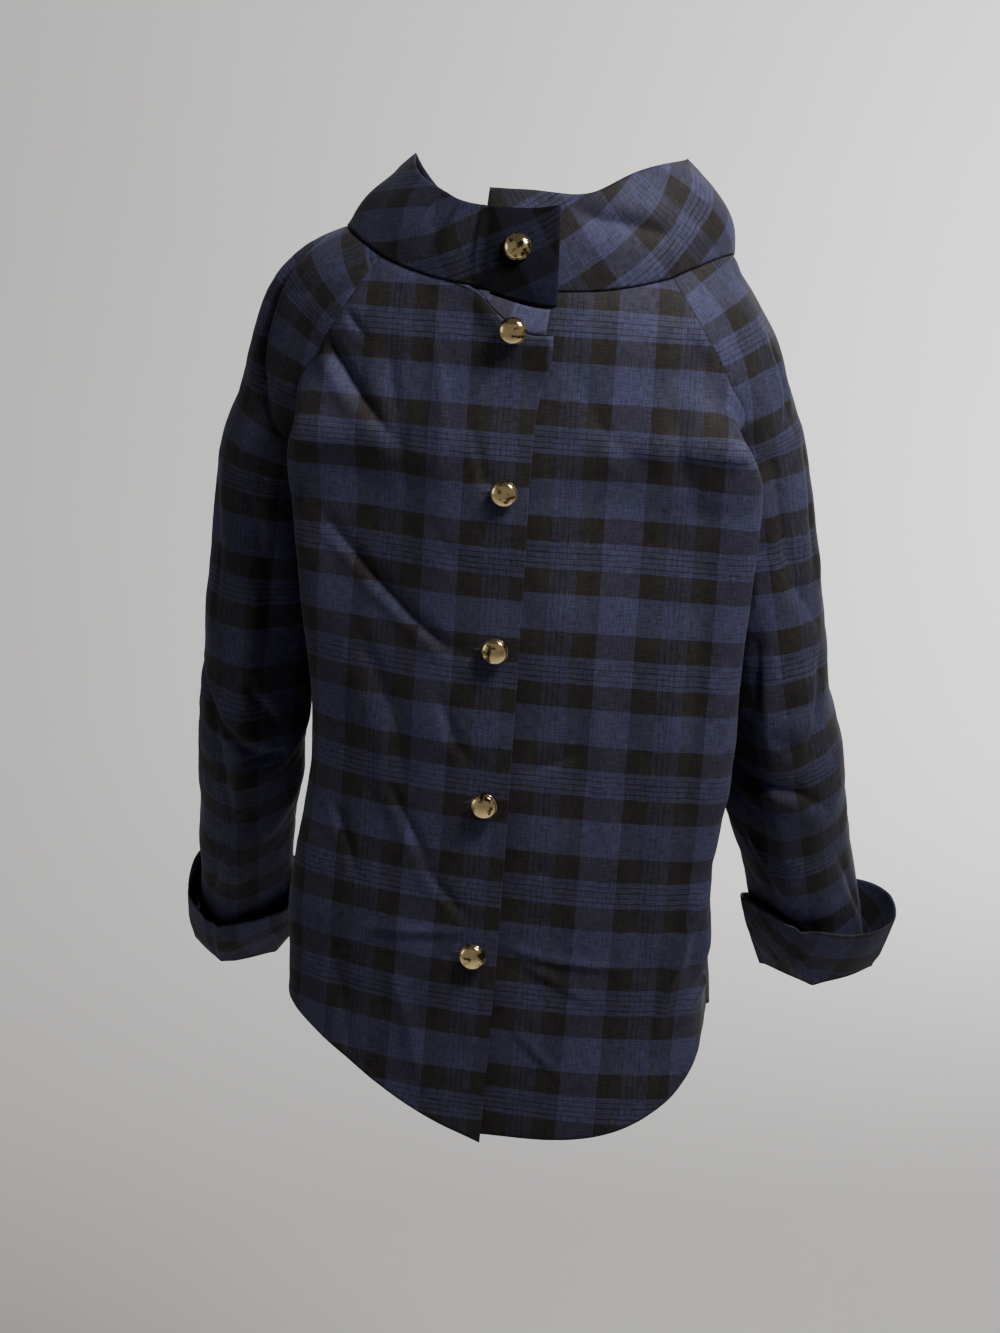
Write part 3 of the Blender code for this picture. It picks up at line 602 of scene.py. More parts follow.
# Widths in millimetres, one after another. The ramp stretches them a little to fill the sett.
WEFT_STRIPES = (
    (28.2, NAVY), (18.8, DARK), (3.6, NAVY), (0.9, DARK), (3.3, NAVY), (0.9, DARK),
    (3.3, NAVY), (0.9, DARK), (3.3, NAVY), (0.9, DARK), (3.5, NAVY), (18.6, DARK),
)
WARP_STRIPES = (
    (28.6, NAVY), (9.5, BROWN), (9.2, OLIVE), (3.6, SLATE), (0.9, DARK), (3.3, SLATE),
    (0.9, DARK), (3.3, SLATE), (0.9, DARK), (3.6, SLATE), (3.3, SLATE), (9.2, OLIVE), (9.5, BROWN),
)
print("the sett repeats every", round(SETT / MM, 1), "mm, and has", len(WARP_STRIPES),
      "warp stripes and", len(WEFT_STRIPES), "weft stripes")


# %% The tartan's material
def stripe_ramp(tree, place, stripes):
    """A ramp with one hard-edged stop for each stripe, read at a place from 0 to 1."""
    ramp = node(tree, "ShaderNodeValToRGB", place)
    ramp.color_ramp.interpolation = "CONSTANT"
    total = sum(width for width, _ in stripes)
    stops = ramp.color_ramp.elements
    stops.remove(stops[1])
    start = stripes[0][0]
    for width, _ in stripes[1:]:
        stops.new(start / total)
        start += width
    for stop, (_, colour) in zip(stops, stripes):
        stop.color = (*CLOTH_COLOURS[colour], 1.0)
    return ramp


def tartan_material(name):
    """Two stripe ramps on the thread places, mixed by a twill, darkened by painted shade, with a woven
    bump.
    """
    material, tree, shader = new_material(name, 0.72)
    threads = node(tree, "ShaderNodeUVMap", uv_map="threads")
    across, along = node(tree, "ShaderNodeSeparateXYZ", threads).outputs[:2]
    ramps = []
    for way, stripes in ((across, WARP_STRIPES), (along, WEFT_STRIPES)):
        setts = number(tree, "MULTIPLY", way, in_1=1 / SETT)
        ramps.append(stripe_ramp(tree, number(tree, "FRACT", setts), stripes))
    # The twill: diagonal lines of weft showing on the face.
    diagonal = number(tree, "ADD", across, along)
    wave = number(tree, "MULTIPLY", diagonal, in_1=2 * math.pi / TWILL_STEP)
    sine = number(tree, "SINE", wave)
    share = number(tree, "MULTIPLY_ADD", sine, in_1=TWILL_SWING, in_2=WEFT_SHARE)
    woven = node(tree, "ShaderNodeMix", share, data_type="RGBA", from_6=ramps[0], from_7=ramps[1])
    # Uneven yarn: fine streaks along each thread direction, and wide soft fading.
    yarns = []
    for scale in ((FINE_STREAK, LONG_STREAK, 1), (LONG_STREAK, FINE_STREAK, 1)):
        streak = node(tree, "ShaderNodeMapping", threads)
        streak.inputs["Scale"].default_value = scale
        yarns.append(flat_noise(tree, streak, 1.0, 2.0))
    both = number(tree, "ADD", *yarns)
    worn = number(tree, "MULTIPLY_ADD", flat_noise(tree, threads, 28.0, 3.0), in_1=0.35, from_2=both)
    level = node(tree, "ShaderNodeMapRange", worn, in_1=0.7, in_2=1.6, in_3=DARK_YARN, in_4=LIGHT_YARN)
    # Painted shade: the mesh's shade attribute darkens the colour and lowers the shine where the
    # cloth lies in shadow, on the collar's tab and left half.
    depth = node(tree, "ShaderNodeAttribute", attribute_name="shade").outputs["Fac"]
    painted_shade_times_yarn = number(tree, "MULTIPLY", depth, level)
    tint = node(tree, "ShaderNodeVectorMath", woven.outputs[2], operation="SCALE")
    feed(tree, tint, "Scale", painted_shade_times_yarn)
    feed(tree, shader, "Base Color", tint)
    feed(tree, shader, "Specular IOR Level", number(tree, "MULTIPLY", depth, in_1=GLINT))
    add_bump(tree, shader, both, 0.35, 0.0004)
    shader.inputs["Sheen Weight"].default_value = 0.03
    shader.inputs["Sheen Roughness"].default_value = 0.5
    shader.inputs["Sheen Tint"].default_value = (0.75, 0.78, 1.0, 1.0)
    return material


tartan = tartan_material("tartan cotton")
print(tartan.name, "has", len(tartan.node_tree.nodes), "nodes")

# %% [markdown]
# ## The body's panels
# The back is cut in two and laps down its middle: the left back lies over the right one,
# with a faced edge. The front is one piece. All are drawn on fine grids from the panel
# formula, then creased. The creases fade to nothing at every seam, so the pieces meet.

# %% Fine grids and their creases
LEVELS = np.concatenate([np.linspace(0, 1, 96), np.linspace(1, 2, 160)[1:]])
SHARES = np.linspace(0, 1, 84)
LAP_COLUMNS = 10

# Each crease: path of (x, z) places in mm, width, trough and ridge heights in mm.
BACK_LEFT_CREASES = (
    (((176, -22), (158, -58), (143, -80), (121, -108), (96, -138)), 7, -5.0, 3.0),
    (((150, -32), (132, -50), (118, -66)), 4, -2.0, 1.2),
    (((156, -200), (111, -247), (80, -274), (55, -293), (34, -300)), 5, -3.6, 2.4),
    (((100, -405), (77, -448), (66, -472)), 5, -2.4, 1.6),
    (((146, -425), (132, -462), (124, -490)), 5, -2.2, 1.6),
    (((70, -470), (56, -488), (34, -512)), 4, -2.2, 1.5),
    (((122, -526), (80, -523), (40, -521)), 3.5, 1.5, -1.0),
    (((104, -60), (92, -120), (84, -190)), 8, -1.8, 1.2),
    (((62, -60), (56, -120), (58, -180)), 9, 1.2, -0.8),
    (((128, -280), (96, -350), (84, -420)), 10, -1.8, 1.5),
    (((60, -330), (44, -372), (26, -392)), 5, -1.6, 1.0),
    (((96, -560), (80, -610), (76, -650)), 9, 1.8, -1.2),
    (((146, -540), (138, -590), (134, -630)), 9, -2.2, 1.6),
    (((34, -120), (22, -165), (6, -182)), 4, -1.4, 0.9),
)
BACK_RIGHT_CREASES = (
    (((-8, -394), (-30, -384), (-54, -373)), 3.5, -1.8, 1.0),
    (((14, -530), (-33, -541), (-84, -549)), 4, 1.6, -1.0),
    (((-2, -542), (-30, -556), (-62, -576)), 4, 1.4, -0.9),
    (((2, -594), (-16, -614), (-36, -638)), 3.5, 1.3, -0.8),
    (((-142, -486), (-128, -530), (-117, -562), (-108, -612)), 6, 4.2, -3.4),
    (((-141, -500), (-139, -540), (-141, -566), (-128, -596)), 4.5, 3.4, -2.6),
    (((-118, -110), (-124, -150), (-138, -200)), 8, -1.8, 1.2),
    (((-40, -70), (-62, -120), (-98, -160)), 9, -1.0, 0.8),
    (((-146, -240), (-136, -330), (-130, -420)), 11, -2.2, 1.8),
    (((-60, -300), (-66, -380), (-72, -450)), 12, 1.0, -0.8),
    (((-96, -440), (-92, -500), (-96, -560)), 9, -1.4, 1.0),
)
FRONT_CREASES = (
    (((-120, -120), (-84, -180), (-40, -230)), 8, -3.0, 2.0),
    (((128, -120), (96, -180), (54, -232)), 8, -3.0, 2.0),
    (((-60, -110), (-10, -132), (46, -112)), 8, -2.6, 2.2),
    (((-86, -132), (-8, -168), (76, -136)), 9, -2.0, 1.8),
    (((-130, -260), (-112, -360), (-104, -470)), 12, -3.0, 2.4),
    (((138, -270), (124, -370), (120, -480)), 12, -3.0, 2.4),
    (((-20, -300), (-4, -400), (6, -500)), 14, -1.6, 1.4),
    (((60, -420), (56, -520), (62, -620)), 12, 2.0, -1.4),
    (((-60, -440), (-50, -540), (-48, -620)), 12, 2.0, -1.4),
    (((-120, -560), (-60, -584), (-8, -588)), 5, -1.6, 1.0),
    (((130, -330), (90, -352), (60, -358)), 5, -1.8, 1.1),
)
print(len(LEVELS), "levels;", len(BACK_LEFT_CREASES), "creases on the left back,",
      len(BACK_RIGHT_CREASES), "on the right and", len(FRONT_CREASES), "on the front")

# %% How seams hold the cloth
SEAM_FADE = 0.016         # creases die away over this much cloth beside a seam
SEAM_DIP = 0.0009         # a sewn edge is pulled in this far
SEAM_DIP_WIDTH = 0.0035
SEAM_OVERLAP = -0.0006    # sewn edges meet with no light between them
# Kind, height in metres, height added by stress, length of a wave in metres.
BODY_NOISE = (
    (soft_noise, 0.0022, 0, 0.17),
    (crumple, 0.0010, 0, 0.075),
    (crumple, 0.0002, 0, 0.026),
)


def edge_distance(grid, columns=(), top=True):
    """Metres of cloth to the nearest sewn edge: the top row, and the named end columns."""
    across = running_length(grid, axis=1)
    distance = running_length(grid) if top else np.full(grid.shape[:2], 1e9)
    for column in columns:
        distance = np.minimum(distance, np.abs(across - across[:, [column]]))
    return distance


def seam_dip(distance):
    """A narrow bell that sinks the cloth at a seam."""
    return -SEAM_DIP * bell(distance / SEAM_DIP_WIDTH)


def pull_in(grid, columns):
    """Moves the named end columns by half the seam overlap, outwards as it is negative."""
    for outer in columns:
        inner = 1 if outer == 0 else -2
        grid[:, outer] += unit(grid[:, inner] - grid[:, outer]) * SEAM_OVERLAP / 2
    return grid


def body_lift(grid, places, creases, seams, seed):
    """Creases by place on the body, soft hollows and crumples, all fading at the seams."""
    plan = grid[..., [0, 2]]
    lift = crease_height(plan, creases) + unevenness(places, BODY_NOISE, seed)
    return lift * ease(seams / SEAM_FADE) + seam_dip(seams)


def inside_line(levels):
    """A line of places inside the body, one for each level, that leans as the body does."""
    z = -0.05 - levels * 0.3
    return np.stack([lean(z), 0 * z, z], axis=-1)[:, None]


print("a seam sinks the cloth by", -seam_dip(0.0), "m")

# %% The two backs, lapped down the middle
LIP_STANDOFF, LIP_LENGTH = 0.009, 0.16
TOP_DROOP, DROOP_DEPTH = 0.20, 0.6  # in levels: how far the lap's top hangs, and down to where


def lip_height(level, share, top):
    """How far the top of the left lap stands away: a bell below its top edge."""
    below = np.maximum(level - top, 0.0)
    return LIP_STANDOFF * bell(below / LIP_LENGTH) * ease((0.42 - share) / 0.45)


def back_grid(side, lap):
    """Levels and shares of a back panel, from its lapped edge to its side."""
    beyond = centre_share(side, LEVELS, lap)[:, None] * np.linspace(1, 0, LAP_COLUMNS + 1)[:-1]
    shares = np.concatenate([beyond, np.tile(SHARES, (len(LEVELS), 1))], axis=1)
    return np.tile(LEVELS[:, None], (1, shares.shape[1])), shares


def lap_share(share):
    """1 in the lap and 0 a third of the way out."""
    return ease((0.34 - share) / 0.30)


def build_back(side, lap, creases, shift, seed):
    """A back panel with its creases. The left one's top droops and stands away at the lap."""
    levels, shares = back_grid(side, lap)
    droop = TOP_DROOP * ease((0.34 - shares) / 0.46) * (side > 0)
    moved = levels + droop * (1 - ease(levels / DROOP_DEPTH))
    grid = panel_surface(side, 1, moved, shares)
    out = surface_normals(grid, inside_line(LEVELS))
    places = thread_places(grid, out, LAP_COLUMNS) + shift
    seams = edge_distance(grid, columns=(-1,))
    lift = body_lift(grid, places, creases, seams, seed) + side * LAP_OFFSET * lap_share(shares)
    if side > 0:
        lift += lip_height(moved, shares, droop) * (levels < 1)
    grid = pull_in(grid + out * lift[..., None], (-1,))
    cloth_piece(f"back_{SIDE_NAMES[side]}_cloth", grid, places)
    return grid, out


back_left_grid, back_left_out = build_back(1, BACK_LAP, BACK_LEFT_CREASES, (0.062, 0.0561), 11)
build_back(-1, UNDER_LAP, BACK_RIGHT_CREASES, (0.0118, 0.0372), 21)

# %% The front, in one piece
right = panel_surface(-1, -1, LEVELS[:, None], SHARES[None, :])[:, ::-1]
left = panel_surface(1, -1, LEVELS[:, None], SHARES[None, :])
grid = np.concatenate([right, left[:, 1:]], axis=1)
out = surface_normals(grid, inside_line(LEVELS))
places = thread_places(grid, out, len(SHARES) - 1)
lift = body_lift(grid, places, FRONT_CREASES, edge_distance(grid, columns=(0, -1)), 31)
cloth_piece("front_cloth", pull_in(grid + out * lift[..., None], (0, -1)), places)

# %% [markdown]
# ## The sleeves
# The arms hang a little bent, so the cloth crumples inside each elbow and drags down the
# forearm. The grain runs down the middle of the sleeve, which is why the squares of the
# tartan stand at an angle beside the raglan seams.

# %% Sleeve grids and creases
SLEEVE_LEVELS = np.concatenate([np.linspace(0, 1, 84), np.linspace(1, 2, 150)[1:]])
SLEEVE_ARMPIT_ROW = 83
SLEEVE_SHARES = np.linspace(0, 1, 113)
SLEEVE_GIRTH = 280.0      # mm, used to place creases round the arm
ARM_DROP = 460.0          # mm for one level below the armpit
ARMPIT_TUCK = 0.0015      # the sleeve's underarm point is pulled in this far
ELBOW, ELBOW_REACH = 1.6, 0.22  # levels
TUBE_RADIUS = 0.045       # a sleeve's, for noise that goes round it
SLEEVE_NOISE = (
    (soft_noise, 0.0012, 0.0012, 0.09),
    (crumple, 0.0007, 0.0010, 0.05),
    (crumple, 0.0002, 0, 0.02),
)
# Paths are (share, level); widths, troughs and ridges are in mm.
LEFT_SLEEVE_CREASES = (
    (((0.50, 1.49), (0.38, 1.545), (0.30, 1.59), (0.22, 1.634), (0.15, 1.65)), 5, -4.0, 3.0),
    (((0.44, 1.50), (0.33, 1.60), (0.308, 1.67), (0.27, 1.78)), 5, -3.0, 2.0),
    (((0.50, 1.56), (0.43, 1.67), (0.395, 1.75)), 4, -2.2, 1.6),
    (((0.27, 1.48), (0.20, 1.545), (0.15, 1.60)), 4, -2.4, 2.0),
    (((0.28, 1.655), (0.20, 1.65), (0.12, 1.64)), 4, -2.6, 2.2),
    (((0.46, 1.10), (0.40, 1.25), (0.36, 1.42)), 9, -2.4, 1.8),
    (((0.30, 1.12), (0.24, 1.28), (0.20, 1.42)), 9, -2.4, 1.8),
    (((0.62, 1.30), (0.70, 1.48), (0.78, 1.60)), 6, -3.0, 2.2),
    (((0.60, 1.66), (0.70, 1.60), (0.82, 1.56)), 6, -3.4, 2.4),
    (((0.58, 1.78), (0.66, 1.68), (0.80, 1.63)), 6, -2.6, 2.0),
    (((0.22, 1.76), (0.30, 1.84), (0.36, 1.93)), 6, -2.0, 1.6),
    (((0.40, 0.14), (0.33, 0.40), (0.25, 0.66), (0.18, 0.92)), 9, -6.0, 0.0),
    (((0.62, 0.40), (0.64, 0.70), (0.66, 1.00)), 10, -2.2, 1.6),
)
RIGHT_SLEEVE_CREASES = (
    (((0.34, 0.96), (0.35, 1.10), (0.354, 1.29), (0.44, 1.38)), 7, -4.2, 2.6),
    (((0.152, 1.76), (0.20, 1.81), (0.24, 1.87)), 5, 2.6, -2.0),
    (((0.05, 1.60), (0.16, 1.645), (0.30, 1.66), (0.40, 1.72)), 6, -3.0, 2.6),
    (((0.44, 1.42), (0.40, 1.54), (0.34, 1.62)), 6, -2.6, 2.0),
    (((0.48, 1.00), (0.47, 1.18), (0.45, 1.32)), 7, -2.0, 1.5),
    (((0.26, 1.30), (0.24, 1.42), (0.20, 1.54)), 7, -2.4, 1.8),
    (((0.62, 1.34), (0.70, 1.50), (0.80, 1.60)), 6, -3.0, 2.2),
    (((0.60, 1.68), (0.70, 1.62), (0.84, 1.57)), 6, -3.4, 2.4),
    (((0.57, 1.80), (0.68, 1.70), (0.80, 1.64)), 6, -2.4, 1.8),
    (((0.38, 0.45), (0.38, 0.70), (0.36, 0.92)), 8, -1.8, 1.3),
    (((0.64, 0.40), (0.65, 0.70), (0.66, 1.00)), 10, -2.0, 1.5),
    (((0.40, 1.80), (0.46, 1.88), (0.50, 1.95)), 6, -1.8, 1.5),
)
print(len(LEFT_SLEEVE_CREASES), "creases on the left sleeve,", len(RIGHT_SLEEVE_CREASES), "right")


# %% The sleeves' cloth
def tube_plan(shares, down, slopes):
    """Places for noise that meets itself round a tube: a circle that slides as it goes down."""
    turn = 2 * math.pi * shares
    return np.stack([TUBE_RADIUS * np.cos(turn) + slopes[0] * down,
                     TUBE_RADIUS * np.sin(turn) - slopes[1] * down], axis=-1)


def sleeve_lift(levels, shares, places, creases, seams, seed):
    """Creases placed round and down the arm, with stronger crumples about the elbow."""
    plan = np.stack([shares * SLEEVE_GIRTH, levels * ARM_DROP], axis=-1) * MM
    lift = crease_height(plan, creases, (SLEEVE_GIRTH, ARM_DROP))
    elbow = bell((levels - ELBOW) / ELBOW_REACH)
    lift += unevenness(tube_plan(shares, places[..., 1], (0.6, 0.8)), SLEEVE_NOISE, seed, elbow)
    return lift * ease(seams / SEAM_FADE) + seam_dip(seams)


def build_sleeve(side, creases, seed):
    """A sleeve: its rings, pulled in at the raglan seams and closed below the armpit."""
    levels, shares = np.meshgrid(SLEEVE_LEVELS, SLEEVE_SHARES, indexing="ij")
    grid = sleeve_point(side, levels, shares)
    out = surface_normals(grid, inside_line(np.ones(1))[0])
    tube = grid[SLEEVE_ARMPIT_ROW:]
    out[SLEEVE_ARMPIT_ROW:] = surface_normals(tube, tube.mean(axis=1, keepdims=True), closed=True)
    places = thread_places(grid, out, len(SLEEVE_SHARES) // 2)
    raglan = edge_distance(grid, columns=(0, -1), top=False) + 0.3 * ease((levels - 0.97) / 0.25)
    seams = np.minimum(edge_distance(grid), raglan)
    lift = sleeve_lift(levels, shares, places, creases, seams, seed)
    grid = grid + out * lift[..., None]
    grid[:SLEEVE_ARMPIT_ROW] = pull_in(grid[:SLEEVE_ARMPIT_ROW].copy(), (0, -1))
    grid[SLEEVE_ARMPIT_ROW:, -1] = grid[SLEEVE_ARMPIT_ROW:, 0]
    grid[SLEEVE_ARMPIT_ROW, [0, -1]] -= out[SLEEVE_ARMPIT_ROW, [0, -1]] * ARMPIT_TUCK
    cloth_piece(f"sleeve_{SIDE_NAMES[side]}_cloth", grid, places, closed_from=SLEEVE_ARMPIT_ROW)


build_sleeve(1, LEFT_SLEEVE_CREASES, 41)
build_sleeve(-1, RIGHT_SLEEVE_CREASES, 51)

# %% [markdown]
# ## The collar and its tab
# The cowl is one bias band that stands away from the neck. It rises from the neck seam to
# a leaning rim, highest at the sides, and its ends lap at the back: the left end is a
# square tab that covers the right one. A band bent along a curve would also work, but a
# formula from seam to rim keeps the base exactly on the neck seam.

# %% Sizes and creases of the collar
RIM_HALF_WIDTH, RIM_HALF_DEPTH, RIM_SHIFT = 0.104, 0.074, -0.008
RIM_SIDE_HEIGHT, RIM_BACK_HEIGHT, RIM_FRONT_HEIGHT = 0.064, 0.035, -0.020
TAB_LAP, TAB_UNDER_LAP, UNDER_RISE = 0.029, 0.029, 0.013
RIM_RIGHT_CURVE, RIM_LEFT_CURVE, RIM_FRONT_CURVE, UPRIGHT_SHARE = 6.0, 1.1, 1.2, 0.75
TAB_DROOP, TAB_DROOP_LENGTH = 0.010, 0.070
COLLAR_LAP_OFFSET = 0.0035
LAP_EASE, TAB_FOLD = 0.066, 0.034     # from there the ends part, and the tab steps out
COLLAR_BULGE, RIGHT_BULGE, FRONT_BULGE = 0.004, 0.009, 0.017
COLLAR_THICKNESS = 0.0016
COLLAR_BIAS = math.radians(33)
ALLOWANCE = 0.007         # the seam allowance inside the neck
# Painted shade: how much darker the collar's left half and its tab are painted, where they
# lie in shadow, and how far from the centre back the tab's painted shade starts.
LEFT_HALF_SHADE, TAB_SHADE, TAB_SHADE_START = 0.35, 0.60, 0.032
COLLAR_NOISE = ((soft_noise, 0.0010, 0, 0.11), (crumple, 0.0004, 0, 0.05))
# Paths are (mm round the neck from the centre back, right positive; mm up from the seam).
COLLAR_CREASES = (
    (((36, 62), (60, 53), (92, 45), (122, 30)), 9, -3.6, 2.6),
    (((128, 66), (138, 44), (150, 22)), 8, -2.2, 1.8),
    (((-104, 64), (-112, 40), (-122, 14)), 6, -3.0, 2.6),
    (((-70, 60), (-78, 36), (-84, 12)), 9, -1.8, 1.4),
    (((-32, -2), (-31, 30), (-30, 64)), 2.6, 2.4, 0.0),
    (((-27, -2), (-26, 30), (-25, 64)), 3.0, -1.4, 0.0),
    (((196, 60), (214, 30), (226, 8)), 12, -3.0, 2.4),
    (((-190, 60), (-206, 34), (-220, 8)), 12, -3.0, 2.4),
    (((262, 58), (300, 34), (344, 26)), 12, -4.0, 3.2),
    (((-256, 58), (-296, 36), (-338, 28)), 12, -4.0, 3.2),
    (((300, 62), (350, 48), (400, 50)), 10, -3.0, 2.4),
)
print(len(COLLAR_CREASES), "creases on the collar")


# %% The neck seam's line
def neck_line():
    """The neck seam from the covered end, round the right side, to the tab.

    With it go the lengths from the centre back: counted from the covered end, and from the tab.
    """
    zero = np.zeros(1)
    fine = np.linspace(0, 1, 42)
    arm = np.linspace(0, 1, 64)
    steps = np.linspace(1, 0, 13)[:-1]
    under = centre_share(-1, zero, TAB_UNDER_LAP) * steps
    over = centre_share(1, zero, TAB_LAP) * steps[::-1]
    flat = 0 * fine
    line = np.concatenate([
        panel_surface(-1, 1, 0 * steps, under), panel_surface(-1, 1, flat, fine),
        sleeve_point(-1, 0.0, arm)[1:-1], panel_surface(-1, -1, flat, fine)[::-1],
        panel_surface(1, -1, flat, fine)[1:-1], sleeve_point(1, 0.0, arm)[:0:-1],
        panel_surface(1, 1, flat, fine)[::-1], panel_surface(1, 1, 0 * steps, over)])
    length = running_length(line)
    return line, length - TAB_UNDER_LAP, length[-1] - length - TAB_LAP


base, from_under, from_tab = neck_line()
print("neck seam length", round(float(from_under[-1] + TAB_UNDER_LAP), 3), "m")

# %% The collar from the seam to the rim
turn = np.unwrap(np.arctan2(-base[:, 0] / NECK_HALF_WIDTH, base[:, 1] / NECK_HALF_DEPTH))
turn = turn - 2 * math.pi * round(turn[0] / (2 * math.pi))
sin, cos = np.sin(turn), np.cos(turn)
back_curve = np.where(sin > 0, RIM_RIGHT_CURVE, RIM_LEFT_CURVE)
drop = np.where(cos > 0, (RIM_BACK_HEIGHT - RIM_SIDE_HEIGHT) * np.abs(cos) ** back_curve,
                (RIM_FRONT_HEIGHT - RIM_SIDE_HEIGHT) * np.abs(cos) ** RIM_FRONT_CURVE)
gathered = np.where(cos > 0, ease(np.abs(sin) / UPRIGHT_SHARE), 1.0)
rim_x = (RIM_SHIFT - RIM_HALF_WIDTH * sin) * gathered - NECK_HALF_WIDTH * sin * (1 - gathered)
rim = np.stack([rim_x, RIM_HALF_DEPTH * cos, RIM_SIDE_HEIGHT + drop], axis=-1)
base[:, 2] -= TAB_DROOP * ease(1 - (from_tab + TAB_LAP) / TAB_DROOP_LENGTH)
under = ease((LAP_EASE - from_under) / LAP_EASE)
over = 0.4 * ease((LAP_EASE - from_tab) / LAP_EASE) + 0.6 * ease((TAB_FOLD - from_tab) / 0.008)
rim[:, 2] += UNDER_RISE * under
height = np.linspace(0, 1, 30)[::-1, None, None]
grid = base[None] * (1 - height) + rim[None] * height
outward = np.stack([-sin, cos, 0 * turn], axis=-1)
front_share = ease(-cos * 1.2 + 0.1)
bulge = (COLLAR_BULGE + RIGHT_BULGE * np.maximum(sin, 0) ** 2 * (1 - front_share)
         + FRONT_BULGE * front_share)
swell = np.sin(math.pi * height) * bulge[None, :, None]
layer = (COLLAR_LAP_OFFSET * (over - under))[None, :, None]
grid = grid + outward[None] * (swell + layer)
out = surface_normals(grid, np.zeros(3))
print("the rim is highest at", round(float(rim[:, 2].max()), 3), "m")

# %% The collar's threads, creases and seam allowance
tab_centre = int(np.argmin(np.abs(from_tab)))
round_neck = np.where(from_under < from_tab, from_under, -from_tab)
up = np.linalg.norm(grid - grid[-1:], axis=-1)
along = running_length(grid[len(grid) // 2])
places = np.stack([along * math.cos(COLLAR_BIAS) + up * math.sin(COLLAR_BIAS),
                   along * math.sin(COLLAR_BIAS) - up * math.cos(COLLAR_BIAS)], axis=-1)
plan = np.stack([np.broadcast_to(round_neck, up.shape), up], axis=-1)
lift = crease_height(plan, COLLAR_CREASES) + unevenness(places, COLLAR_NOISE, 61)
ends = np.minimum(from_under + TAB_UNDER_LAP, from_tab + TAB_LAP)[None, :]
lift = lift * ease(up / 0.012) * ease(ends / 0.02)
collar_grid = grid + out * lift[..., None]
collar_grid[-1, :, 2] += SEAM_GAP + 0.0006
collar_out = out
# The seam allowance turns down inside the neck, all round except under the lapped ends.
inside = ease((np.minimum(from_tab, from_under) - 0.02) / 0.03)[:, None]
first_row = collar_grid[-1] - outward * (0.0003 + 0.0021 * inside) - np.array([0, 0, 0.0002])
second_row = first_row - np.array([0, 0, 1.0]) * (0.0003 + ALLOWANCE * inside)
sewn_grid = np.concatenate([collar_grid, first_row[None], second_row[None]])
turned_in = [places[-1:] + (0, 0.002), places[-1:] + (0, 0.002 + ALLOWANCE)]
sewn_places = np.concatenate([places, *turned_in])
# Painted shade on the collar: its left half and its tab lie in shadow, so their colour is darkened.
left_half = ease((0.30 - from_tab) / 0.10) * (from_tab < from_under)
on_tab = ease((TAB_SHADE_START - from_tab) / 0.004)
painted_collar_shade = (1 - LEFT_HALF_SHADE * left_half) * (1 - TAB_SHADE * on_tab)
tab_shade = np.broadcast_to(painted_collar_shade, sewn_grid.shape[:2])
cloth_piece("collar_cloth", sewn_grid, sewn_places, thickness=COLLAR_THICKNESS, shade=tab_shade)

# %% [markdown]
# ## The neck facing
# Between the tab and the top of the left lap a narrow strip of facing shows as a small
# ledge. It is a ruled surface: straight lines from the lap's top edge to the tab's bottom.

# %% Facing strip
FACING_COLUMNS, FACING_REACH, UNCOVERED = 30, 0.94, 28
lap_edge = back_left_grid[0, :FACING_COLUMNS][::-1]
tab_edge = collar_grid[-1, -FACING_COLUMNS:]
share = np.linspace(0, FACING_REACH, 8)[::-1, None, None]
low = lap_edge + (0, 0, SEAM_GAP + CLOTH / 2)
high = tab_edge - (0, 0, 2 * SEAM_GAP + COLLAR_THICKNESS)
grid = (low[None] * (1 - share) + high[None] * share)[:, :UNCOVERED]
out = surface_normals(grid, np.zeros(3))
places = thread_places(grid, out, 0) + (0.004, 0.036)
cloth_piece("neck_facing_cloth", grid, places)

# %% [markdown]
# ## The turned-up cuffs
# Each cuff is the sleeve's own end folded back outside, so it flares away from the arm and
# its rim waves a little, with a nick where the underarm seam is caught in. The profile
# runs down the outside, round the fold and just inside the wrist.

# %% Sizes of the cuffs
CUFF_CLOTH = 0.0011
CUFF_STANDOFF, CUFF_DROP, CUFF_FOLD = 0.0028, 0.0012, 0.0032
CUFF_BELLY, CUFF_RIPPLE = 0.002, 0.0012
CUFF_NOISE = ((soft_noise, 0.0012, 0, 0.06), (crumple, 0.0005, 0, 0.03))
NICK_DEPTH, NICK_WIDTH = 3.5, 0.035   # mm of rim height, and a share of the way round
SEAM_GROOVE, SEAM_WELT, WELT_WIDTH = 0.0016, 0.0012, 0.012
CUFF_HEIGHT = {1: (0.048, 0.0, 0.0), -1: (0.054, 0.009, 0.010)}
CUFF_FLARE = {1: (0.007, 0.0, 0.0), -1: (0.015, -0.011, -0.004)}
# mm of rim height: phases of two waves and where the seam's nick is, in shares round
CUFF_WAVES = {1: (2.0, 0.20, 1.2, 0.55, 0.31), -1: (2.2, 0.05, 1.3, 0.40, 0.24)}
# where the stiff double cloth breaks into corners, in shares round, and how far they stand out
CUFF_CORNERS = {1: (0.13, 0.29, 0.42), -1: (0.06, 0.26, 0.47)}
CORNER_OUT, CORNER_DROP, CORNER_WIDTH = 0.0024, 0.0034, 0.030
print("cuffs are about", CUFF_HEIGHT[1][0], "and", CUFF_HEIGHT[-1][0], "m high")


# %% The cuffs' cloth
def round_wrist(values, shares):
    """A size that changes smoothly round the wrist, from its mean, inner and back values."""
    mean, inner, back = values
    return mean + inner * np.cos(2 * math.pi * shares) + back * np.sin(2 * math.pi * shares)


def share_gap(shares, place):
    """How far round the wrist a share lies from a place, the short way."""
    return np.abs((shares - place + 0.5) % 1.0 - 0.5)


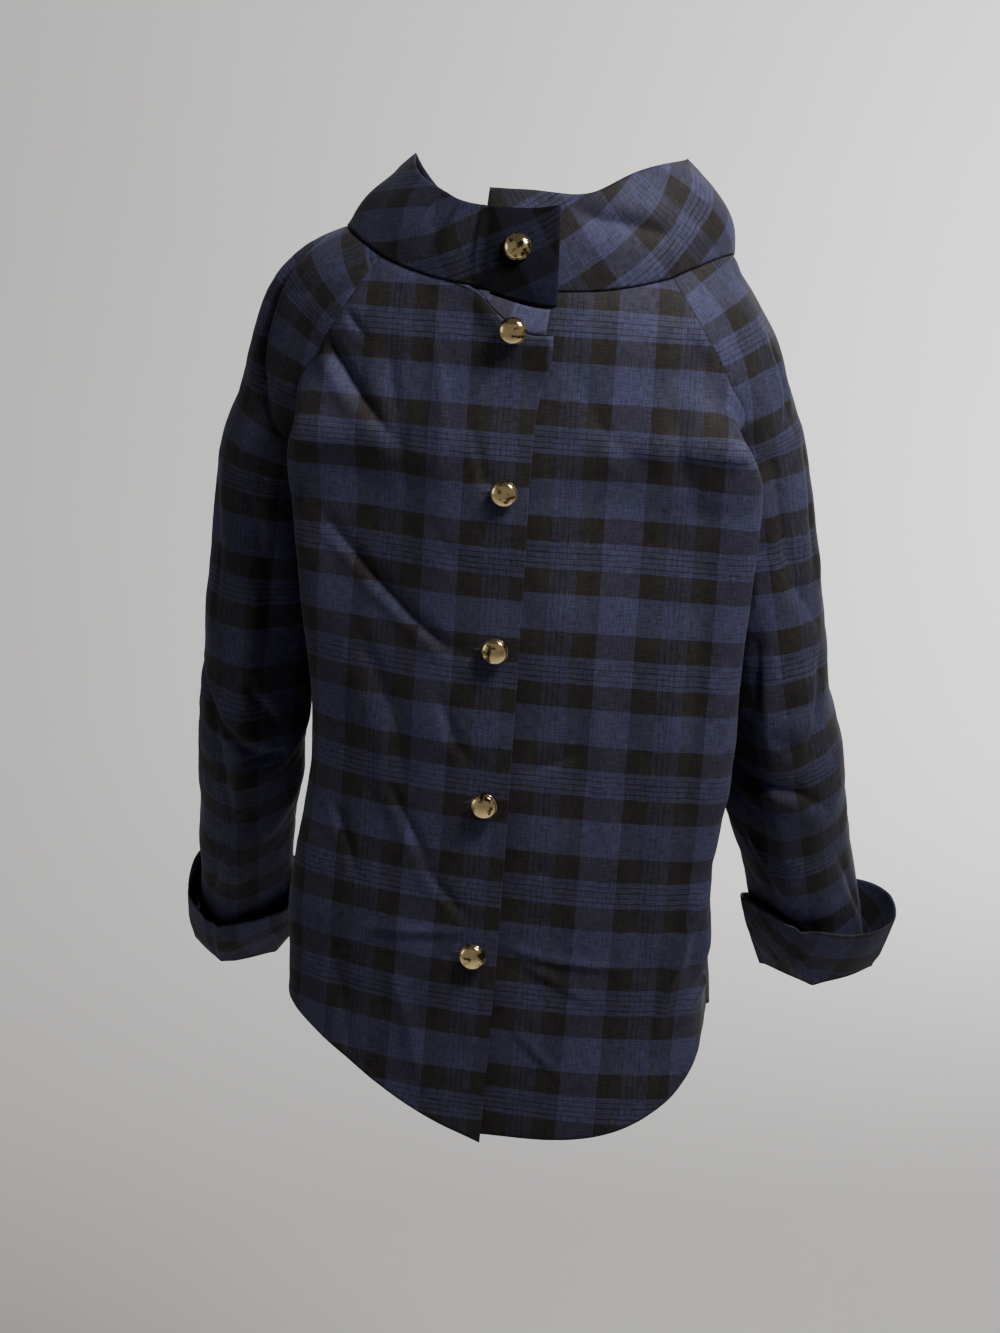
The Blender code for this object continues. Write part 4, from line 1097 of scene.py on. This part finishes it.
def build_cuff(side, seed):
    """A cuff: rows up the flared outside, then round the fold to just inside the wrist."""
    shares = np.linspace(0, 1, 129)
    end = sleeve_point(side, 2.0, shares)
    above = sleeve_point(side, 1.92, shares).mean(axis=0)
    middle = end[:-1].mean(axis=0)
    up = unit(above - end.mean(axis=0))
    away = end - middle
    away = unit(away - (away @ up)[:, None] * up)
    tall, phase, small, small_phase, nick = CUFF_WAVES[side]
    wave = tall * np.sin(2 * math.pi * (2 * shares + phase))
    wave += small * np.sin(2 * math.pi * (3 * shares + small_phase))
    near = share_gap(shares, nick)
    wave -= NICK_DEPTH * bell(near / NICK_WIDTH)
    climb = np.linspace(1, 0, 22)[:, None]
    flare = CUFF_STANDOFF + round_wrist(CUFF_FLARE[side], shares) * climb
    flare = flare + CUFF_BELLY * np.sin(math.pi * climb)
    flare = flare + CUFF_RIPPLE * climb * np.sin(2 * math.pi * (3 * shares + phase))
    from_corners = share_gap(shares, np.array(CUFF_CORNERS[side])[:, None])
    corner = np.exp(-from_corners / CORNER_WIDTH).sum(axis=0)
    flare = flare + CORNER_OUT * corner
    rise = round_wrist(CUFF_HEIGHT[side], shares) * climb - CUFF_DROP + wave * MM * climb ** 2
    rise = rise - CORNER_DROP * corner * (1 - climb) ** 2
    fold_turn = np.linspace(0, 1, 7)[1:, None] * math.pi / 2
    fold_out = (CUFF_STANDOFF + CORNER_OUT * corner) * np.cos(fold_turn) + SEAM_GAP
    fold_rise = -CUFF_DROP - (CUFF_FOLD - CUFF_DROP) * np.sin(fold_turn) - CORNER_DROP * corner
    outs = np.concatenate([flare, fold_out])
    rises = np.concatenate([rise, fold_rise])
    grid = end[None] + up * rises[..., None] + away[None] * outs[..., None]
    out = surface_normals(grid, middle, closed=True)
    places = thread_places(grid, out, len(shares) // 2)
    lift = unevenness(tube_plan(shares, places[..., 1], (0.5, 0.5)), CUFF_NOISE, seed)
    lift += SEAM_WELT * bell((near - 0.02) / WELT_WIDTH) - SEAM_GROOVE * bell(near / WELT_WIDTH)
    lift = lift * ease((rises + 0.001) / 0.012)
    grid = grid + out * lift[..., None]
    grid[:, -1] = grid[:, 0]
    name = f"cuff_{SIDE_NAMES[side]}_cloth"
    cloth_piece(name, grid, places, closed_from=0, thickness=CUFF_CLOTH)


build_cuff(1, 71)
build_cuff(-1, 81)

# %% [markdown]
# ## The buttons
# The buttons are domed shank buttons of polished gold-coloured metal: a smooth cap with a
# rolled rim over a flat back. The profile is turned round an axis that stands square to
# the cloth. They need a real metal shader, because their look is all reflection.

# %% Sizes and metal of the buttons
BUTTON_RADIUS, BUTTON_HEIGHT, SHANK_RADIUS, SHANK_CLEARANCE = 0.0105, 0.0095, 0.0022, 0.0009
FIRST_BUTTON_DEPTH, BUTTON_SPACING, BACK_BUTTONS, TAB_BUTTON_SHARE = 0.0525, 0.1215, 5, 0.58


def polished_gold():
    """Polished gold with faint small dents, with dark reflections painted on in blotches."""
    material, tree, shader = new_material("polished gold", 0.1)
    shader.inputs["Metallic"].default_value = 1.0
    dents = object_noise(tree, 160.0)
    # Painted reflection: dark blotches in the colour stand in for the dark room mirrored in the dome.
    painted_dark_reflections = object_noise(tree, 150.0, 3.0)
    colour_between(tree, shader, painted_dark_reflections, (0.10, 0.066, 0.030), (0.86, 0.66, 0.34), 0.37, 0.46)
    rough = node(tree, "ShaderNodeMapRange", dents, in_3=0.06, in_4=0.16)
    feed(tree, shader, "Roughness", rough)
    add_bump(tree, shader, dents, 0.12, 0.0006)
    return material


gold = polished_gold()
print(gold.name, "has", len(gold.node_tree.nodes), "nodes")


# %% One button, turned from its profile
def button_profile():
    """(radius, height) pairs: shank, flat back, rolled rim, and an oval dome to the tip."""
    back = [(0.0, 0.0), (SHANK_RADIUS, 0.0), (SHANK_RADIUS, 0.0026), (0.0072, 0.0029)]
    roll = [(BUTTON_RADIUS - 0.0011 + 0.0011 * math.sin(t), 0.0040 - 0.0011 * math.cos(t))
            for t in np.linspace(0, 0.75 * math.pi, 7)]
    dome_radius = roll[-1][0] - 0.0003
    low = roll[-1][1]
    dome = [(dome_radius * math.cos(t), low + (BUTTON_HEIGHT - low) * math.sin(t))
            for t in np.linspace(0.06, math.pi / 2, 16)]
    return np.array(back + roll + dome)


def build_button(name, place, direction):
    """The profile turned in 48 steps about the direction, joined by four-sided faces."""
    profile = button_profile()
    axis = unit(direction)
    across = unit(np.cross(axis, (0.0, 0.0, 1.0)))
    upward = np.cross(across, axis)
    turn = np.linspace(0, 2 * math.pi, 49)[:-1]
    spokes = across * np.cos(turn)[:, None] + upward * np.sin(turn)[:, None]
    start = place + axis * (CLOTH / 2 + SHANK_CLEARANCE)
    rings = start + spokes[None] * profile[1:-1, 0, None, None] + axis * profile[1:-1, 1, None, None]
    index = point_numbers(rings, closed=True)
    points = np.concatenate([rings.reshape(-1, 3), start[None], (start + axis * BUTTON_HEIGHT)[None]])
    foot, tip = len(points) - 2, len(points) - 1
    faces = cell_corners(index).reshape(-1, 4).tolist()
    faces += [(foot, int(b), int(a)) for a, b in zip(index[0], index[0, 1:])]
    faces += [(tip, int(a), int(b)) for a, b in zip(index[-1], index[-1, 1:])]
    pieces[name] = mesh_object(name, points, faces, gold)
    pieces[name].data.set_sharp_from_angle(angle=math.radians(55))
    return pieces[name]


print("the profile has", len(button_profile()), "points")


# %% Buttons down the lap
def at_height(points, outward, z):
    """Place, normal and row number where a downward line of points passes a height."""
    order = np.argsort(points[:, 2])
    heights = points[order, 2]
    place = read_between(z, heights, points[order])
    return place, read_between(z, heights, outward[order]), float(np.interp(z, heights, order))


low = collar_grid[-1, tab_centre, 2]
middle_height = low + TAB_BUTTON_SHARE * (RIM_BACK_HEIGHT - low)
place, direction, _ = at_height(collar_grid[:, tab_centre], collar_out[:, tab_centre], middle_height)
buttons = [build_button("gold_button_1", place, direction)]
button_rows = []
for k in range(BACK_BUTTONS):
    depth = FIRST_BUTTON_DEPTH + k * BUTTON_SPACING
    line, line_out = back_left_grid[:, LAP_COLUMNS], back_left_out[:, LAP_COLUMNS]
    place, direction, row = at_height(line, line_out, -depth)
    button_rows.append(row)
    buttons.append(build_button(f"gold_button_{k + 2}", place, direction))
print("button rows on the lap's grid:", [round(r, 1) for r in button_rows])

# %% [markdown]
# ## The buttonholes
# Each hole is worked across the lap, from the button's shank towards the wearer's left: a
# slit between two rows of close dark stitches, with a bar at each end. They are raised
# threads on the cloth, so a narrow ribbed strip is laid on the lap's own surface.

# %% Buttonhole thread
HOLE_LENGTH, HOLE_START, HOLE_HALF_WIDTH = 0.019, -0.002, 0.0015
STITCH = 0.0008
thread, thread_tree, thread_shader = new_material("dark buttonhole thread", 0.7)
colour_between(thread_tree, thread_shader, object_noise(thread_tree, 900.0),
               (0.006, 0.006, 0.009), (0.020, 0.020, 0.030))
print("each hole has about", round(HOLE_LENGTH / STITCH), "stitches along it")


# %% Stitched buttonholes
def lay_on_lap(grid, out, row, start, across, down):
    """Places on a grid's surface: across and down, in metres, from a row and a column."""
    low = int(row)
    part = row - low
    line = grid[low] * (1 - part) + grid[low + 1] * part
    line_out = unit(out[low] * (1 - part) + out[low + 1] * part)
    length = running_length(line)
    length -= length[start]
    below = unit(grid[low + 1, start] - grid[low, start])
    place = read_between(across, length, line) + below * down[..., None]
    return place, unit(read_between(across, length, line_out))


def build_buttonhole(name, grid, out, row, start):
    """Ribbed ridges each side of a slit; the ribs are its stitches."""
    u = np.linspace(0, 1, 97)[:, None]
    v = np.linspace(-1, 1, 13)[None, :]
    across = HOLE_START + HOLE_LENGTH * u + 0 * v
    width = HOLE_HALF_WIDTH * np.clip(np.sin(math.pi * np.clip(u, 0.02, 0.98)), 0, 1) ** 0.22
    place, normal = lay_on_lap(grid, out, row, start, across, width * v)
    ridge = bell((np.abs(v) - 0.55) / 0.28)
    rib = 0.75 + 0.25 * np.cos(2 * math.pi * u * HOLE_LENGTH / STITCH)
    high = CLOTH / 2 + 0.00012 + 0.00050 * ridge * rib - 0.0004 * (np.abs(v) > 0.99)
    points = place + normal * high[..., None]
    order = cell_corners(point_numbers(points)).reshape(-1, 4)
    facing = np.cross(points[1, 0] - points[0, 0], points[0, 1] - points[0, 0])
    if facing @ normal[0, 0] > 0:
        order = order[:, ::-1]
    pieces[name] = mesh_object(name, points, order.tolist(), thread)
    return pieces[name]


for k, row in enumerate(button_rows):
    name = f"buttonhole_{k + 2}"
    build_buttonhole(name, back_left_grid, back_left_out, row, LAP_COLUMNS)

# %% [markdown]
# ## Dressing the pieces and listing their cuts
# The same tartan dresses every piece. Each new piece takes the place of its plain wall, and
# a table lists the size each was cut to.

# %% Materials and places in the table
for name, piece in pieces.items():
    if name.endswith("_cloth"):
        piece.data.materials.append(tartan)
    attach(piece, "root")
print(len(pieces), "pieces")

# %% Cut sizes
# Name, width and length in metres, area in square metres, and how the sheet is held.
CUTS = (
    ("back_left", 0.315, 0.700, 0.154, "hung"),
    ("back_right", 0.320, 0.700, 0.178, "hung"),
    ("front", 0.560, 0.620, 0.273, "hung"),
    ("sleeve_left", 0.380, 0.680, 0.171, "hung"),
    ("sleeve_right", 0.360, 0.690, 0.155, "hung"),
    ("collar", 0.880, 0.085, 0.066, "hung"),
    ("cuff_left", 0.290, 0.056, 0.0160, "folded"),
    ("cuff_right", 0.335, 0.060, 0.0195, "folded"),
    ("neck_facing", 0.032, 0.030, 0.0009, "folded"),
)
for name, width, length, area, held in CUTS:
    piece = pieces[name + "_cloth"]
    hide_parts(name)
for k, button in enumerate(buttons):
    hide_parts(f"button_{k + 1}")
print("cloth cut:", round(sum(row[3] for row in CUTS), 2), "square metres")

# %% [markdown]
# ## The studio
# The top hangs over a pale floor that turns up all round into a wall, like a roll of studio
# paper, so no edge shows from any side. A soft key lamp stands high at the right of the
# buttoned back, weaker ones open the shadows on the other sides, and two light the paper.

# %% Floor and wall
FLOOR_HEIGHT, FLOOR_RADIUS, WALL_RADIUS, WALL_TOP = -1.35, 2.6, 5.0, 4.0


def build_cove():
    """A profile turned round: flat floor, a quarter curve, then a wall, in 96 steps."""
    turn = np.linspace(0, math.pi / 2, 15)
    bend = WALL_RADIUS - FLOOR_RADIUS
    radius = np.concatenate([[0.02, 0.8, 1.7], FLOOR_RADIUS + bend * np.sin(turn), [WALL_RADIUS]])
    height = np.concatenate([[0, 0, 0], bend * (1 - np.cos(turn)), [WALL_TOP - FLOOR_HEIGHT]])
    angle = np.linspace(0, 2 * math.pi, 97)[:-1]
    ring = np.stack([np.cos(angle), np.sin(angle)], axis=-1)
    flat = radius[:, None, None] * ring[None]
    points = np.concatenate([flat, np.broadcast_to(height[:, None, None] + FLOOR_HEIGHT,
                                                   flat.shape[:2] + (1,))], axis=-1)
    index = point_numbers(points, closed=True)
    faces = cell_corners(index)[..., ::-1].reshape(-1, 4).tolist() + [index[0, :-1].tolist()]
    paper, tree, shader = new_material("pale studio paper", 0.9)
    colour_between(tree, shader, object_noise(tree, 1.2), (0.66, 0.645, 0.635), (0.70, 0.69, 0.68))
    return mesh_object("studio_cove", points, faces, paper)


build_cove()
print("the wall stands", WALL_RADIUS, "m away")


# %% Lamps
def set_up(name, data, place, aim):
    """A lamp or a camera at a place, turned to face another."""
    thing = bpy.data.objects.new(name, data)
    thing.location = place
    thing.rotation_euler = (Vector(aim) - Vector(place)).to_track_quat("-Z", "Y").to_euler()
    bpy.context.scene.collection.objects.link(thing)
    return thing


def soft_lamp(name, place, aim, size, power, colour=(1.0, 1.0, 1.0)):
    """A square lamp: size is its side in metres, power is in watts."""
    data = bpy.data.lights.new(name, "AREA")
    data.size = size
    data.energy = power
    data.color = colour
    set_up(name, data, place, aim)


soft_lamp("key lamp", (-0.72, 0.58, 0.84), (-0.05, 0, -0.1), 0.42, 30, (1.0, 0.985, 0.96))
soft_lamp("fill lamp", (2.6, 0.8, 0.2), (0.2, 0, -0.4), 1.2, 5)
soft_lamp("front lamp", (0.8, -2.2, 1.6), (0, 0, -0.3), 1.6, 14)
soft_lamp("wall lamp", (-1.0, -2.8, 0.5), (-0.5, -4.8, -0.8), 0.9, 98)
soft_lamp("floor lamp", (-1.0, -2.4, 1.2), (-0.7, -2.1, -1.35), 0.8, 28)
world = bpy.data.worlds.new("studio air")
world.use_nodes = True
air = world.node_tree.nodes["Background"]
air.inputs[0].default_value = (0.95, 0.97, 1.0, 1)
air.inputs[1].default_value = 0.08
bpy.context.scene.world = world
print(len(bpy.data.lights), "lamps")

# %% Camera
VIEW_AZIMUTH, VIEW_ELEVATION, VIEW_DISTANCE = 189.94, 8.55, 2.965
VIEW_AIM, VIEW_LENS = (0.031, 0.0, -0.3375), 104.6
azimuth, elevation = math.radians(VIEW_AZIMUTH), math.radians(VIEW_ELEVATION)
towards = Vector((math.sin(azimuth) * math.cos(elevation),
                  -math.cos(azimuth) * math.cos(elevation), math.sin(elevation)))
camera_data = bpy.data.cameras.new("camera")
camera_data.lens = VIEW_LENS
camera_data.sensor_width = 36
camera = set_up("camera", camera_data, towards * VIEW_DISTANCE, VIEW_AIM)
bpy.context.scene.camera = camera
print("camera at", [round(v, 3) for v in camera.location])
